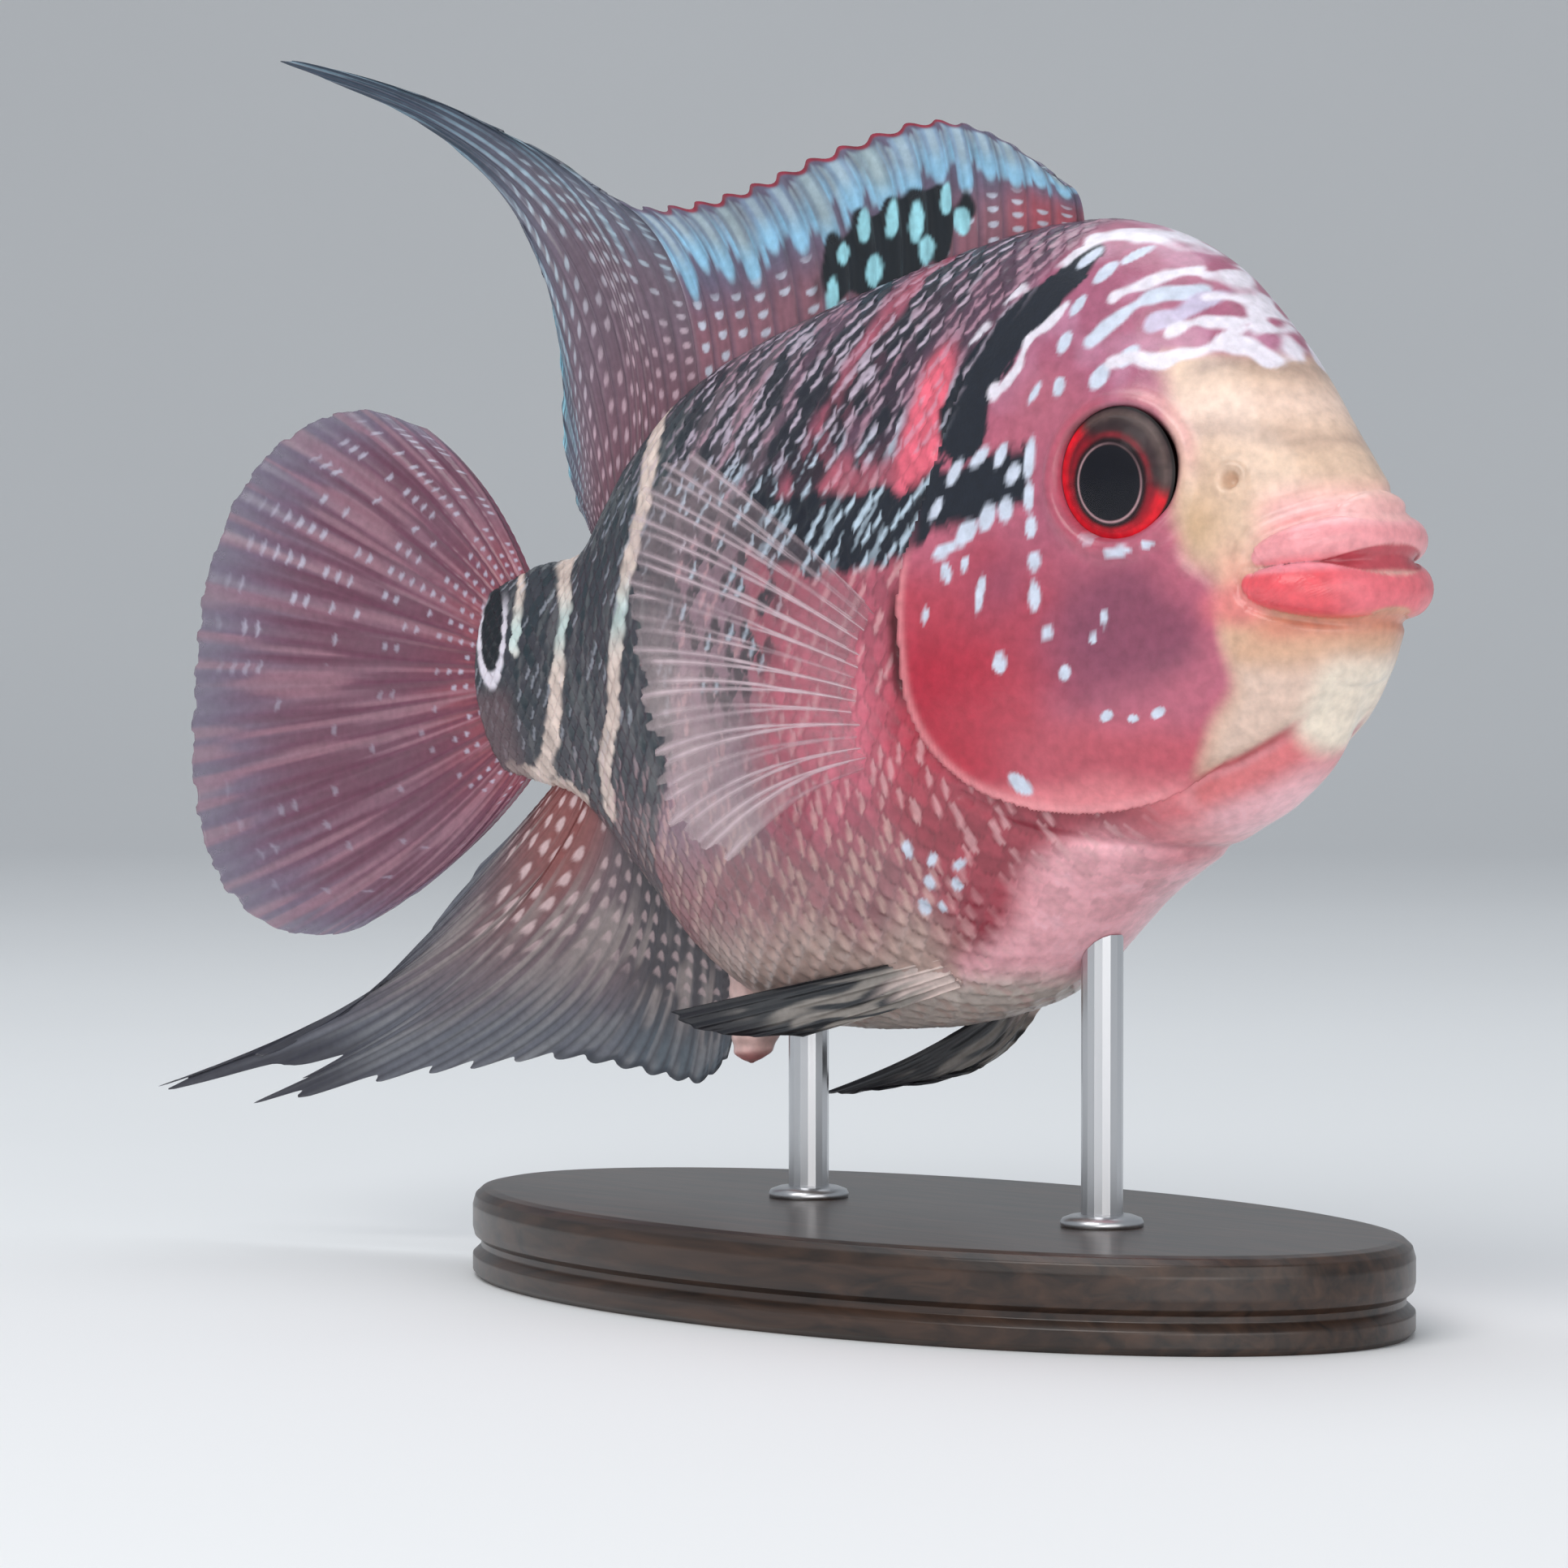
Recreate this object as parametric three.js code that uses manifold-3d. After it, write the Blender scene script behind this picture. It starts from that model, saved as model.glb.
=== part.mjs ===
// Life-size display model of a young adult flowerhorn cichlid, held over a flat base by two rods.
// Millimetres, +Z up. The fish faces +X, with its tail swept a little towards its right side (-Y).
import * as THREE from "three";
import Module from "manifold-3d";

const wasm = await Module();
wasm.setup();

// Driving sizes
const BODY_LENGTH = 125; // caudal base to the front of the lips
const AXIS_HEIGHT = 66; // of the body axis over the floor, at the pivot of the pitch
const PIVOT_X = 62.5;
const PITCH = THREE.MathUtils.degToRad(4.9); // nose up
const GAP = 0.3; // between neighbouring pieces
const BEND_X = 26; // behind this station the body sweeps sideways
const BEND_RADIUS = 150;
const BEND_MOST = THREE.MathUtils.degToRad(24);
const AROUND = 36; // points round the body
const PER_SPAN = 3; // stations between two control rows
const FAR = 160; // past the fish on every side, for cutting shapes

// Body control rows, tail to lips.
// back x, z | belly x, z | flank x, half width, z | fullness above, below
const ROWS = [
  [-1.5, 9.0, -1.0, -9.6, -3.5, 1.3, -0.3, 2.0, 2.0],
  [5.0, 11.0, 4.0, -11.2, 3.5, 3.4, 0.0, 1.9, 1.9],
  [13.0, 12.6, 10.0, -13.6, 11.5, 5.6, 0.0, 1.8, 1.8],
  [22.0, 22.0, 19.0, -22.0, 21.0, 8.6, 0.0, 1.7, 1.75],
  [32.0, 27.6, 29.5, -31.5, 32.0, 12.2, -1.0, 1.7, 1.9],
  [46.0, 31.4, 43.0, -37.6, 46.0, 15.6, -3.0, 1.75, 2.1],
  [60.0, 34.0, 60.0, -38.8, 59.0, 17.2, -5.0, 1.8, 2.2],
  [73.0, 35.8, 75.0, -36.6, 70.5, 17.0, -6.0, 1.9, 2.2],
  [84.5, 36.4, 87.5, -28.9, 81.0, 16.2, -6.0, 2.1, 2.1],
  [94.0, 35.3, 98.0, -23.9, 90.5, 14.6, -5.0, 2.25, 2.1],
  [102.8, 30.6, 106.2, -20.6, 99.5, 12.8, -3.5, 2.3, 2.15],
  [110.0, 23.3, 113.4, -15.5, 107.0, 11.0, -2.5, 2.2, 2.15],
  [116.0, 14.6, 118.2, -9.6, 113.0, 9.2, -1.5, 2.1, 2.1],
  [121.0, 7.6, 121.6, -4.2, 117.6, 6.6, 0.2, 2.1, 2.1],
];
const SNOUT = [122.6, 0.0, 1.4];

// Uniform Catmull-Rom spline through rows of numbers; t runs from 0 to rows.length - 1.
function spline(rows, t) {
  const last = rows.length - 1;
  const i = Math.min(Math.floor(t), last - 1);
  const f = t - i;
  return rows[0].map((_, k) => {
    const b = rows[i][k];
    const c = rows[i + 1][k];
    const a = i > 0 ? rows[i - 1][k] : 2 * b - c;
    const d = i < last - 1 ? rows[i + 2][k] : 2 * c - b;
    const square = 2 * a - 5 * b + 4 * c - d;
    const cube = 3 * b - a - 3 * c + d;
    return 0.5 * (2 * b + (c - a) * f + square * f ** 2 + cube * f ** 3);
  });
}

const bump = (v, centre, width) => Math.exp(-(((v - centre) / width) ** 2));

// A point on the skin. angle 0 is the back and PI the belly, on the left side (+Y) for side = 1.
function skinPoint(t, angle, side, grow = 0) {
  const [bx, bz, ax, az, fx, width, fz, above, below] = spline(ROWS, t);
  const c = Math.cos(angle);
  const s = Math.sin(angle);
  const upper = c >= 0;
  const power = 2 / (upper ? above : below);
  const [ex, ez] = upper ? [bx, bz + grow] : [ax, az - grow];
  const x = fx + (ex - fx) * c * c;
  const z = fz + (ez - fz) * Math.abs(c) ** power;
  const y = (width + grow) * Math.abs(s) ** power;
  return new THREE.Vector3(x, side * (y + relief(x, z) * Math.abs(s)), z);
}

// Swellings of the head: gill cover, cheek and the hollow in front of the eye.
function relief(x, z) {
  const cover = 0.9 * bump(x, 77, 8) * bump(z, -8, 12);
  const cheek = 0.7 * bump(x, 95, 8) * bump(z, -13, 7);
  const hollow = -0.6 * bump(x, 107, 5) * bump(z, 5, 6);
  const brow = 0.8 * bump(x, 97, 9) * bump(z, 24, 9);
  return cover + cheek + hollow + brow;
}

function solidOf(points, faces) {
  const vertProperties = new Float32Array(points.length * 3);
  points.forEach((p, i) => p.toArray(vertProperties, i * 3));
  const triVerts = new Uint32Array(faces.flat());
  return new wasm.Manifold(new wasm.Mesh({ numProp: 3, vertProperties, triVerts }));
}

// A closed body from rings of points, each a loop seen anticlockwise from the last ring's side.
function loft(rings, firstCap, lastCap) {
  const n = rings[0].length;
  const points = rings.flat();
  const faces = [];
  for (let i = 0; i < rings.length - 1; i++)
    for (let j = 0; j < n; j++) {
      const a = i * n + j;
      const b = i * n + ((j + 1) % n);
      faces.push([a, b, b + n], [a, b + n, a + n]);
    }
  const first = points.push(firstCap) - 1;
  const final = points.push(lastCap) - 1;
  const end = (rings.length - 1) * n;
  for (let j = 0; j < n; j++) {
    faces.push([first, (j + 1) % n, j]);
    faces.push([final, end + j, end + ((j + 1) % n)]);
  }
  const made = solidOf(points, faces);
  return made.volume() > 0 ? made : solidOf(points, faces.map(([a, b, c]) => [a, c, b]));
}

function bodySolid(grow = 0) {
  const spans = ROWS.length - 1;
  const rings = [];
  for (let i = 0; i <= spans * PER_SPAN; i++) {
    const ring = [];
    for (let j = 0; j < AROUND; j++) {
      const turn = (j / AROUND) * 2 * Math.PI;
      const left = turn <= Math.PI;
      ring.push(skinPoint(i / PER_SPAN, left ? turn : 2 * Math.PI - turn, left ? 1 : -1, grow));
    }
    rings.push(ring);
  }
  const tailEnd = new THREE.Vector3(ROWS[0][4] - grow, 0, ROWS[0][6]);
  return loft(rings, tailEnd, new THREE.Vector3(SNOUT[0] + grow, SNOUT[1], SNOUT[2]));
}

// A prism through the whole width, from an outline in the side view.
function sideCut(outline, halfWidth = 40) {
  const shape = new THREE.Shape(outline.map(([x, z]) => new THREE.Vector2(x, z)));
  const made = new THREE.ExtrudeGeometry(shape, { depth: 2 * halfWidth, bevelEnabled: false, steps: 1 });
  made.rotateX(Math.PI / 2);
  made.translate(0, halfWidth, 0);
  return fromGeometry(made);
}

function fromGeometry(geometry) {
  const flat = geometry.index ? geometry.toNonIndexed() : geometry;
  const at = flat.getAttribute("position");
  const seen = new Map();
  const points = [];
  const index = [];
  for (let i = 0; i < at.count; i++) {
    const p = new THREE.Vector3().fromBufferAttribute(at, i);
    const key = p.toArray().map((v) => Math.round(v * 1e4)).join();
    if (!seen.has(key)) seen.set(key, points.push(p) - 1);
    index.push(seen.get(key));
  }
  const faces = [];
  for (let i = 0; i < index.length; i += 3) {
    const [a, b, c] = index.slice(i, i + 3);
    if (a !== b && b !== c && a !== c) faces.push([a, b, c]);
  }
  return solidOf(points, faces);
}

const largest = (solid) => solid.decompose().sort((a, b) => b.volume() - a.volume())[0];

function splineLine(points, count) {
  const line = [];
  for (let i = 0; i <= count; i++) line.push(spline(points, (i / count) * (points.length - 1)));
  return line;
}

// The gill opening in the side view, from above the nape down to the throat.
const GILL_LINE = [
  [88.5, 60], [86.0, 34], [80.5, 22], [76.2, 11], [74.0, 2], [73.8, -7],
  [75.6, -15], [81.5, -20.6], [90.5, -23.0], [98.0, -24.6], [104, -40],
];
// Moves a line in the side view by a distance to its left.
function shifted(line, distance) {
  return line.map(([x, z], i) => {
    const [ax, az] = line[Math.max(i - 1, 0)];
    const [bx, bz] = line[Math.min(i + 1, line.length - 1)];
    const long = Math.hypot(bx - ax, bz - az);
    return [x - ((bz - az) / long) * distance, z + ((bx - ax) / long) * distance];
  });
}
function gillFront(shift) {
  const line = shifted(splineLine(GILL_LINE, 30), shift);
  return sideCut([[FAR, line[0][1]], ...line, [FAR, line[line.length - 1][1]]]);
}
const TAIL_LINE = [[15.0, 60], [14.2, 14], [12.4, 0], [11.2, -14], [11.0, -60]];
function tailBack(shift) {
  const line = shifted(splineLine(TAIL_LINE, 10), shift).reverse();
  return sideCut([[-FAR, line[0][1]], ...line, [-FAR, line[line.length - 1][1]]]);
}

// A tube of changing radius along points, with round-ended caps.
function tube(path, radiusAt, sides = 10) {
  const rings = path.map((p, i) => {
    const before = path[Math.max(i - 1, 0)];
    const after = path[Math.min(i + 1, path.length - 1)];
    const along = after.clone().sub(before).normalize();
    const up = new THREE.Vector3(0, 0, 1);
    const across = new THREE.Vector3().crossVectors(along, up).normalize();
    const over = new THREE.Vector3().crossVectors(across, along);
    const r = radiusAt(i / (path.length - 1));
    return Array.from({ length: sides }, (_, j) => {
      const a = (j / sides) * 2 * Math.PI;
      return p.clone().addScaledVector(across, r * Math.cos(a)).addScaledVector(over, r * Math.sin(a));
    });
  });
  return loft(rings, path[0], path[path.length - 1]);
}

// Lips: two thick rolls round the front of the jaws, which meet at the line of the mouth.
// corner is the left end, reach and z the place on the mid-plane, end and radius their thickness.
const UPPER_LIP = { corner: [113.4, 8.2, 2.0], reach: 120.9, z: 3.5, end: 1.1, radius: 2.1 };
const LOWER_LIP = { corner: [112.7, 8.6, -0.9], reach: 119.9, z: -1.8, end: 1.5, radius: 2.8 };
const LIP_STEPS = 20;
function lip({ corner, reach, z, end, radius }) {
  const [cornerX, width, cornerZ] = corner;
  const path = [];
  for (let i = 0; i <= LIP_STEPS; i++) {
    const a = THREE.MathUtils.lerp(-Math.PI / 2, Math.PI / 2, i / LIP_STEPS);
    const forward = Math.max(Math.cos(a), 0);
    const x = cornerX + (reach - cornerX) * forward ** 0.9;
    path.push(new THREE.Vector3(x, width * Math.sin(a), cornerZ + (z - cornerZ) * forward ** 0.6));
  }
  return tube(path, (t) => end + (radius - end) * Math.sin(Math.PI * t) ** 0.6);
}

// Eyes: a lens-shaped ball in a socket with a raised rim.
const EYE = { x: 99.6, z: 10.8, radius: 5.9, bulge: 3.1, depth: 2.6, sunk: 0.5 };
const EYE_FACE = THREE.MathUtils.degToRad(11); // how far the eyes look forward
function skinWidthAt(x, z) {
  // half width of the skin at a place in the side view
  let best = null;
  for (let t = 0; t <= ROWS.length - 1; t += 0.02)
    for (let a = 0.05; a < Math.PI; a += 0.05) {
      const p = skinPoint(t, a, 1);
      const d = (p.x - x) ** 2 + (p.z - z) ** 2;
      if (!best || d < best.d) best = { d, y: p.y };
    }
  return best.y;
}
const eyeWidth = skinWidthAt(EYE.x, EYE.z);
function lens(radius, bulge, depth) {
  const profile = [];
  for (let i = 0; i <= 8; i++) {
    const a = THREE.MathUtils.lerp(-Math.PI / 2, Math.PI / 2, i / 8);
    const reach = i % 8 ? radius * Math.cos(a) : 0;
    profile.push(new THREE.Vector2(reach, Math.sin(a) * (a < 0 ? depth : bulge)));
  }
  return new THREE.LatheGeometry(profile, 18);
}
// Turns a shape made round +Y to face out of the head on one side.
function faceOut(geometry, side) {
  const made = geometry.clone();
  if (side < 0) made.rotateX(Math.PI);
  made.rotateZ(-side * EYE_FACE);
  made.translate(EYE.x, side * (eyeWidth - EYE.sunk), EYE.z);
  return made;
}
const eyeGeometry = lens(EYE.radius, EYE.bulge, EYE.depth);
const socketGeometry = lens(EYE.radius + GAP, EYE.bulge + GAP, EYE.depth + GAP);
const RIM = { outside: 0.75, thickness: 0.85 };
const rimGeometry = new THREE.TorusGeometry(EYE.radius + RIM.outside, RIM.thickness, 6, 24);
rimGeometry.rotateX(Math.PI / 2);

// Nostrils: one pit on each side between the eye and the upper lip.
const NOSTRIL = { x: 110.6, z: 9.2, radius: 0.7, stretch: 1.8 };
function nostril(side) {
  const pit = new THREE.SphereGeometry(NOSTRIL.radius, 8, 6).scale(1, NOSTRIL.stretch, 1);
  pit.translate(NOSTRIL.x, side * skinWidthAt(NOSTRIL.x, NOSTRIL.z), NOSTRIL.z);
  return fromGeometry(pit);
}

// Body, cut into head, torso and tail.
const body = bodySolid();
const bodyClear = bodySolid(GAP);
let head = largest(body.intersect(gillFront(GAP / 2)));
head = head.add(lip(UPPER_LIP)).add(lip(LOWER_LIP));
for (const side of [1, -1]) {
  head = head.add(fromGeometry(faceOut(rimGeometry, side)));
  head = head.subtract(fromGeometry(faceOut(socketGeometry, side)));
  head = head.subtract(nostril(side));
}
head = largest(head);
const torso = largest(body.subtract(gillFront(-GAP / 2)).subtract(tailBack(GAP / 2)));
const tail = largest(body.intersect(tailBack(-GAP / 2)));

// A fin: a membrane between three guide lines (root, middle, tip) with rays raised on both faces.
// notch draws the margin back between rays, and out gives the direction the faces stand apart in.
const TIP_HALF = 0.22;
const SIDEWAYS = new THREE.Vector3(0, 1, 0);
function finSolid({ root, middle, tip, from = 0, to = 1, out = SIDEWAYS, ...options }) {
  const { rays, rows, rayHalf, membraneHalf, notch } = options;
  const columns = 2 * rays;
  const front = [];
  const back = [];
  for (let i = 0; i <= columns; i++) {
    const u = from + (to - from) * (i / columns);
    const onRay = i % 2 === 0;
    const a = new THREE.Vector3(...spline(root, u * (root.length - 1)));
    const b = new THREE.Vector3(...spline(middle, u * (middle.length - 1)));
    const c = new THREE.Vector3(...spline(tip, u * (tip.length - 1)));
    const reach = onRay ? 1 : 1 - notch;
    const thick = onRay ? rayHalf : membraneHalf;
    for (let j = 0; j <= rows; j++) {
      const v = (j / rows) * reach;
      const p = curveThrough(a, b, c, v);
      const half = THREE.MathUtils.lerp(thick, TIP_HALF, v);
      front.push(p.clone().addScaledVector(out, half));
      back.push(p.clone().addScaledVector(out, -half));
    }
  }
  return sheetSolid(front, back, columns, rows);
}
// A quadratic through a, b and c, with b met half way.
function curveThrough(a, b, c, v) {
  const control = b.clone().multiplyScalar(2).addScaledVector(a, -0.5).addScaledVector(c, -0.5);
  const start = a.clone().multiplyScalar((1 - v) ** 2);
  return start.addScaledVector(control, 2 * v * (1 - v)).addScaledVector(c, v * v);
}
function sheetSolid(front, back, columns, rows) {
  const n = rows + 1;
  const off = front.length;
  const faces = [];
  for (let i = 0; i < columns; i++)
    for (let j = 0; j < rows; j++) {
      const a = i * n + j;
      faces.push([a, a + n, a + n + 1], [a, a + n + 1, a + 1]);
      faces.push([off + a, off + a + n + 1, off + a + n], [off + a, off + a + 1, off + a + n + 1]);
    }
  const rim = [];
  for (let i = 0; i <= columns; i++) rim.push(i * n);
  for (let j = 1; j <= rows; j++) rim.push(columns * n + j);
  for (let i = columns - 1; i >= 0; i--) rim.push(i * n + rows);
  for (let j = rows - 1; j > 0; j--) rim.push(j);
  rim.forEach((a, k) => {
    const b = rim[(k + 1) % rim.length];
    faces.push([a, off + b, b], [a, off + a, off + b]);
  });
  const points = [...front, ...back];
  const made = solidOf(points, faces);
  return made.volume() > 0 ? made : solidOf(points, faces.map(([a, b, c]) => [a, c, b]));
}

// Guide knots of the fins in the side view: root, middle and tip of a ray, in x, z.
// The roots lie inside the body and are cut back to its surface.
const DORSAL = [
  [[85.0, 33.4], [85.0, 38.2], [83.4, 40.4]],
  [[76.0, 33.2], [76.5, 41.8], [75.0, 46.2]],
  [[67.0, 32.6], [67.3, 43.0], [65.0, 49.3]],
  [[57.0, 30.6], [57.0, 41.2], [53.0, 48.4]],
  [[47.0, 28.2], [46.0, 39.4], [41.0, 46.7]],
  [[38.0, 25.8], [36.0, 38.0], [29.5, 46.0]],
  [[30.5, 23.0], [28.0, 38.5], [19.5, 47.6]],
  [[25.0, 19.8], [20.5, 41.5], [6.0, 55.6]],
  [[21.0, 17.0], [15.6, 44.8], [-11.5, 63.9]],
  [[18.3, 14.5], [12.0, 46.0], [-26.0, 68.5]],
  [[16.8, 12.8], [11.0, 41.0], [-7.5, 59.2]],
  [[15.9, 11.4], [11.2, 31.5], [5.8, 46.8]],
  [[15.2, 10.6], [11.7, 23.0], [9.4, 33.0]],
  [[14.8, 10.2], [11.9, 17.6], [9.8, 23.5]],
  [[14.5, 9.8], [12.6, 14.4], [11.0, 16.4]],
];
const ANAL = [
  [[31.5, -29.4], [30.2, -36.4], [28.2, -41.0]],
  [[28.0, -27.0], [26.2, -36.4], [23.5, -43.4]],
  [[24.5, -24.0], [22.0, -35.0], [18.0, -42.6]],
  [[21.5, -21.2], [18.0, -33.2], [11.0, -41.2]],
  [[19.0, -18.8], [14.5, -31.6], [2.0, -40.2]],
  [[16.5, -16.3], [10.5, -30.2], [-9.0, -40.8]],
  [[14.5, -14.2], [5.5, -29.0], [-20.0, -41.6]],
  [[13.0, -12.4], [-1.0, -29.2], [-35.7, -43.3]],
  [[12.0, -11.0], [-4.5, -27.8], [-27.5, -39.3]],
  [[11.2, -10.0], [-7.0, -27.0], [-49.5, -41.4]],
  [[10.4, -9.4], [-5.0, -22.8], [-30.0, -36.9]],
  [[9.7, -9.1], [-1.6, -18.2], [-16.6, -29.3]],
  [[9.0, -8.8], [2.2, -14.3], [-5.5, -19.3]],
];
const CAUDAL = [
  [[4.2, 8.4], [-1.4, 19.0], [-9.5, 27.2]],
  [[2.6, 7.0], [-7.0, 20.0], [-18.0, 30.0]],
  [[1.4, 5.4], [-11.5, 17.0], [-27.5, 28.0]],
  [[0.8, 3.8], [-15.5, 12.5], [-34.0, 22.3]],
  [[0.4, 2.0], [-18.5, 7.0], [-38.4, 12.5]],
  [[0.2, 0.0], [-20.0, 0.8], [-40.6, 1.8]],
  [[0.4, -2.2], [-20.0, -5.6], [-41.3, -8.5]],
  [[0.8, -4.4], [-18.0, -11.4], [-39.2, -17.8]],
  [[1.4, -6.2], [-14.5, -16.2], [-33.0, -24.2]],
  [[2.4, -7.8], [-9.5, -17.8], [-24.0, -25.6]],
  [[3.6, -9.2], [-4.0, -15.6], [-13.8, -21.9]],
];
const guides = (knots) => ({
  root: knots.map((k) => k[0]),
  middle: knots.map((k) => k[1]),
  tip: knots.map((k) => k[2]),
});
const median = (knots) => guides(knots.map((ray) => ray.map(([x, z]) => [x, 0, z])));

const SPINY_END = 6 / 14;
const SEAM = 0.0035; // half of the gap between the two parts of the dorsal fin, as a share of its base
const SPINES = { rays: 15, rows: 6, rayHalf: 0.75, membraneHalf: 0.32, notch: 0.045 };
const SOFT = { rayHalf: 0.65, membraneHalf: 0.3, notch: 0.012 };
const fins = {
  dorsal_fin_spiny: finSolid({ ...median(DORSAL), ...SPINES, to: SPINY_END - SEAM }),
  dorsal_fin_soft: finSolid({ ...median(DORSAL), ...SOFT, rays: 15, rows: 8, from: SPINY_END + SEAM }),
  anal_fin: finSolid({ ...median(ANAL), ...SOFT, rays: 24, rows: 5, notch: 0.03 }),
  caudal_fin: finSolid({ ...median(CAUDAL), ...SOFT, rays: 16, rows: 6 }),
};

// Pectoral fins stand a little off the flanks: x, distance out from the flank, z.
const PECTORAL_FLANK = 16.2;
const PECTORAL = [
  [[76.0, -1.3, -5.0], [64.5, 3.4, 8.0], [53.0, 7.6, 18.6]],
  [[76.2, -1.3, -6.4], [60.5, 3.9, 5.6], [46.6, 8.0, 13.6]],
  [[76.2, -1.3, -7.8], [58.5, 4.2, 1.0], [44.0, 8.2, 6.6]],
  [[76.2, -1.4, -9.2], [58.5, 4.2, -3.6], [44.8, 8.2, -1.4]],
  [[76.0, -1.5, -10.6], [59.5, 3.9, -8.2], [46.6, 8.0, -9.4]],
  [[75.8, -1.6, -12.2], [60.5, 3.4, -12.6], [47.4, 7.4, -17.6]],
  [[75.4, -1.7, -13.8], [64.0, 2.4, -15.6], [54.0, 5.4, -22.4]],
];
// Pelvic fins, as x, distance from the mid-plane, z. The right one is folded, and the left
// one hangs lower.
const PELVIC_RIGHT = [
  [[70.5, 9.8, -31.8], [52.0, 11.6, -34.0], [33.0, 11.6, -36.0]],
  [[70.8, 9.4, -32.8], [52.5, 11.2, -35.6], [36.5, 11.4, -37.6]],
  [[71.0, 8.8, -34.0], [55.5, 10.6, -37.2], [43.5, 11.2, -38.8]],
  [[71.2, 8.0, -35.0], [59.0, 9.8, -37.8], [51.0, 10.8, -39.0]],
];
const PELVIC_LEFT = [
  [[69.5, 5.0, -33.4], [52.0, 9.5, -39.6], [30.5, 10.5, -45.2]],
  [[70.2, 4.4, -34.4], [53.5, 9.0, -41.4], [37.0, 10.0, -45.4]],
  [[70.8, 3.8, -35.2], [56.5, 8.2, -42.6], [44.5, 9.4, -44.6]],
  [[71.2, 3.2, -35.8], [61.5, 6.8, -41.6], [53.0, 8.4, -43.4]],
];
function pairedFin(knots, side, offset, options) {
  const g = guides(knots.map((ray) => ray.map(([x, y, z]) => [x, side * (offset + y), z])));
  const start = new THREE.Vector3(...g.root[0]);
  const along = new THREE.Vector3(...g.tip[0]).sub(start);
  const across = new THREE.Vector3(...g.tip[g.tip.length - 1]).sub(start);
  const normal = across.cross(along).normalize();
  return finSolid({ ...g, out: normal, ...options });
}
const PECTORAL_RAYS = { rays: 12, rows: 6, rayHalf: 0.5, membraneHalf: 0.25, notch: 0.015 };
const PELVIC_RAYS = { rays: 6, rows: 6, rayHalf: 0.6, membraneHalf: 0.3, notch: 0.02 };
fins.pectoral_fin_right = pairedFin(PECTORAL, -1, PECTORAL_FLANK, PECTORAL_RAYS);
fins.pectoral_fin_left = pairedFin(PECTORAL, 1, PECTORAL_FLANK, PECTORAL_RAYS);
fins.pelvic_fin_right = pairedFin(PELVIC_RIGHT, -1, 0, PELVIC_RAYS);
fins.pelvic_fin_left = pairedFin(PELVIC_LEFT, 1, 0, PELVIC_RAYS);
for (const name of Object.keys(fins)) fins[name] = largest(fins[name].subtract(bodyClear));

// The vent: a short fleshy papilla in front of the anal fin.
const VENT = [[33.6, 0, -31.5], [33.4, 0, -35.0], [32.8, 0, -38.2], [32.2, 0, -40.6], [31.9, 0, -41.4]];
const VENT_RADII = [3.0, 2.9, 2.7, 1.9, 0.9];
const ventPath = VENT.map((p) => new THREE.Vector3(...p));
function ventTube(grow) {
  return tube(ventPath, (t) => grow + VENT_RADII[Math.round(t * (VENT_RADII.length - 1))], 12);
}
const vent = largest(ventTube(0).subtract(bodyClear));
fins.anal_fin = largest(fins.anal_fin.subtract(ventTube(GAP)));

// Sideways sweep of the tail end.
function swept(p) {
  if (p.x >= BEND_X) return p.clone();
  const s = BEND_X - p.x;
  const a = Math.min(s / BEND_RADIUS, BEND_MOST);
  const over = Math.max(s - BEND_RADIUS * BEND_MOST, 0);
  return new THREE.Vector3(
    BEND_X - BEND_RADIUS * Math.sin(a) - over * Math.cos(a) - p.y * Math.sin(a),
    -BEND_RADIUS * (1 - Math.cos(a)) - over * Math.sin(a) + p.y * Math.cos(a),
    p.z,
  );
}
function geometryOf(solid, place = (p) => p) {
  const { vertProperties, triVerts, numProp } = solid.getMesh();
  const at = [];
  for (let i = 0; i < vertProperties.length; i += numProp)
    at.push(...place(new THREE.Vector3().fromArray(vertProperties, i)).toArray());
  const geometry = new THREE.BufferGeometry();
  geometry.setAttribute("position", new THREE.Float32BufferAttribute(at, 3));
  geometry.setIndex(new THREE.BufferAttribute(triVerts, 1));
  geometry.computeVertexNormals();
  return geometry;
}

function paint(color, roughness, metalness = 0) {
  return new THREE.MeshStandardMaterial({ color, roughness, metalness });
}
const SKIN = paint(0xc4566a, 0.35);
const DARK_SKIN = paint(0x4b3f49, 0.4);
const FIN = paint(0x9a6f86, 0.4);
const EYE_PAINT = paint(0xb01828, 0.1);
const BASE_PAINT = paint(0x2b2623, 0.45);
const STEEL = paint(0xb9bcc0, 0.3, 1);

const fish = new THREE.Group();
fish.rotation.y = -PITCH;
fish.position.z = AXIS_HEIGHT;
function addToFish(name, solid, material) {
  const mesh = new THREE.Mesh(geometryOf(solid, swept), material);
  mesh.name = name;
  mesh.position.x = -PIVOT_X;
  fish.add(mesh);
}
addToFish("head", head, SKIN);
addToFish("torso", torso, SKIN);
addToFish("tail", tail, DARK_SKIN);
addToFish("vent_papilla", vent, SKIN);
for (const [name, solid] of Object.entries(fins)) addToFish(name, solid, FIN);
addToFish("eye_left", fromGeometry(faceOut(eyeGeometry, 1)), EYE_PAINT);
addToFish("eye_right", fromGeometry(faceOut(eyeGeometry, -1)), EYE_PAINT);

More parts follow.
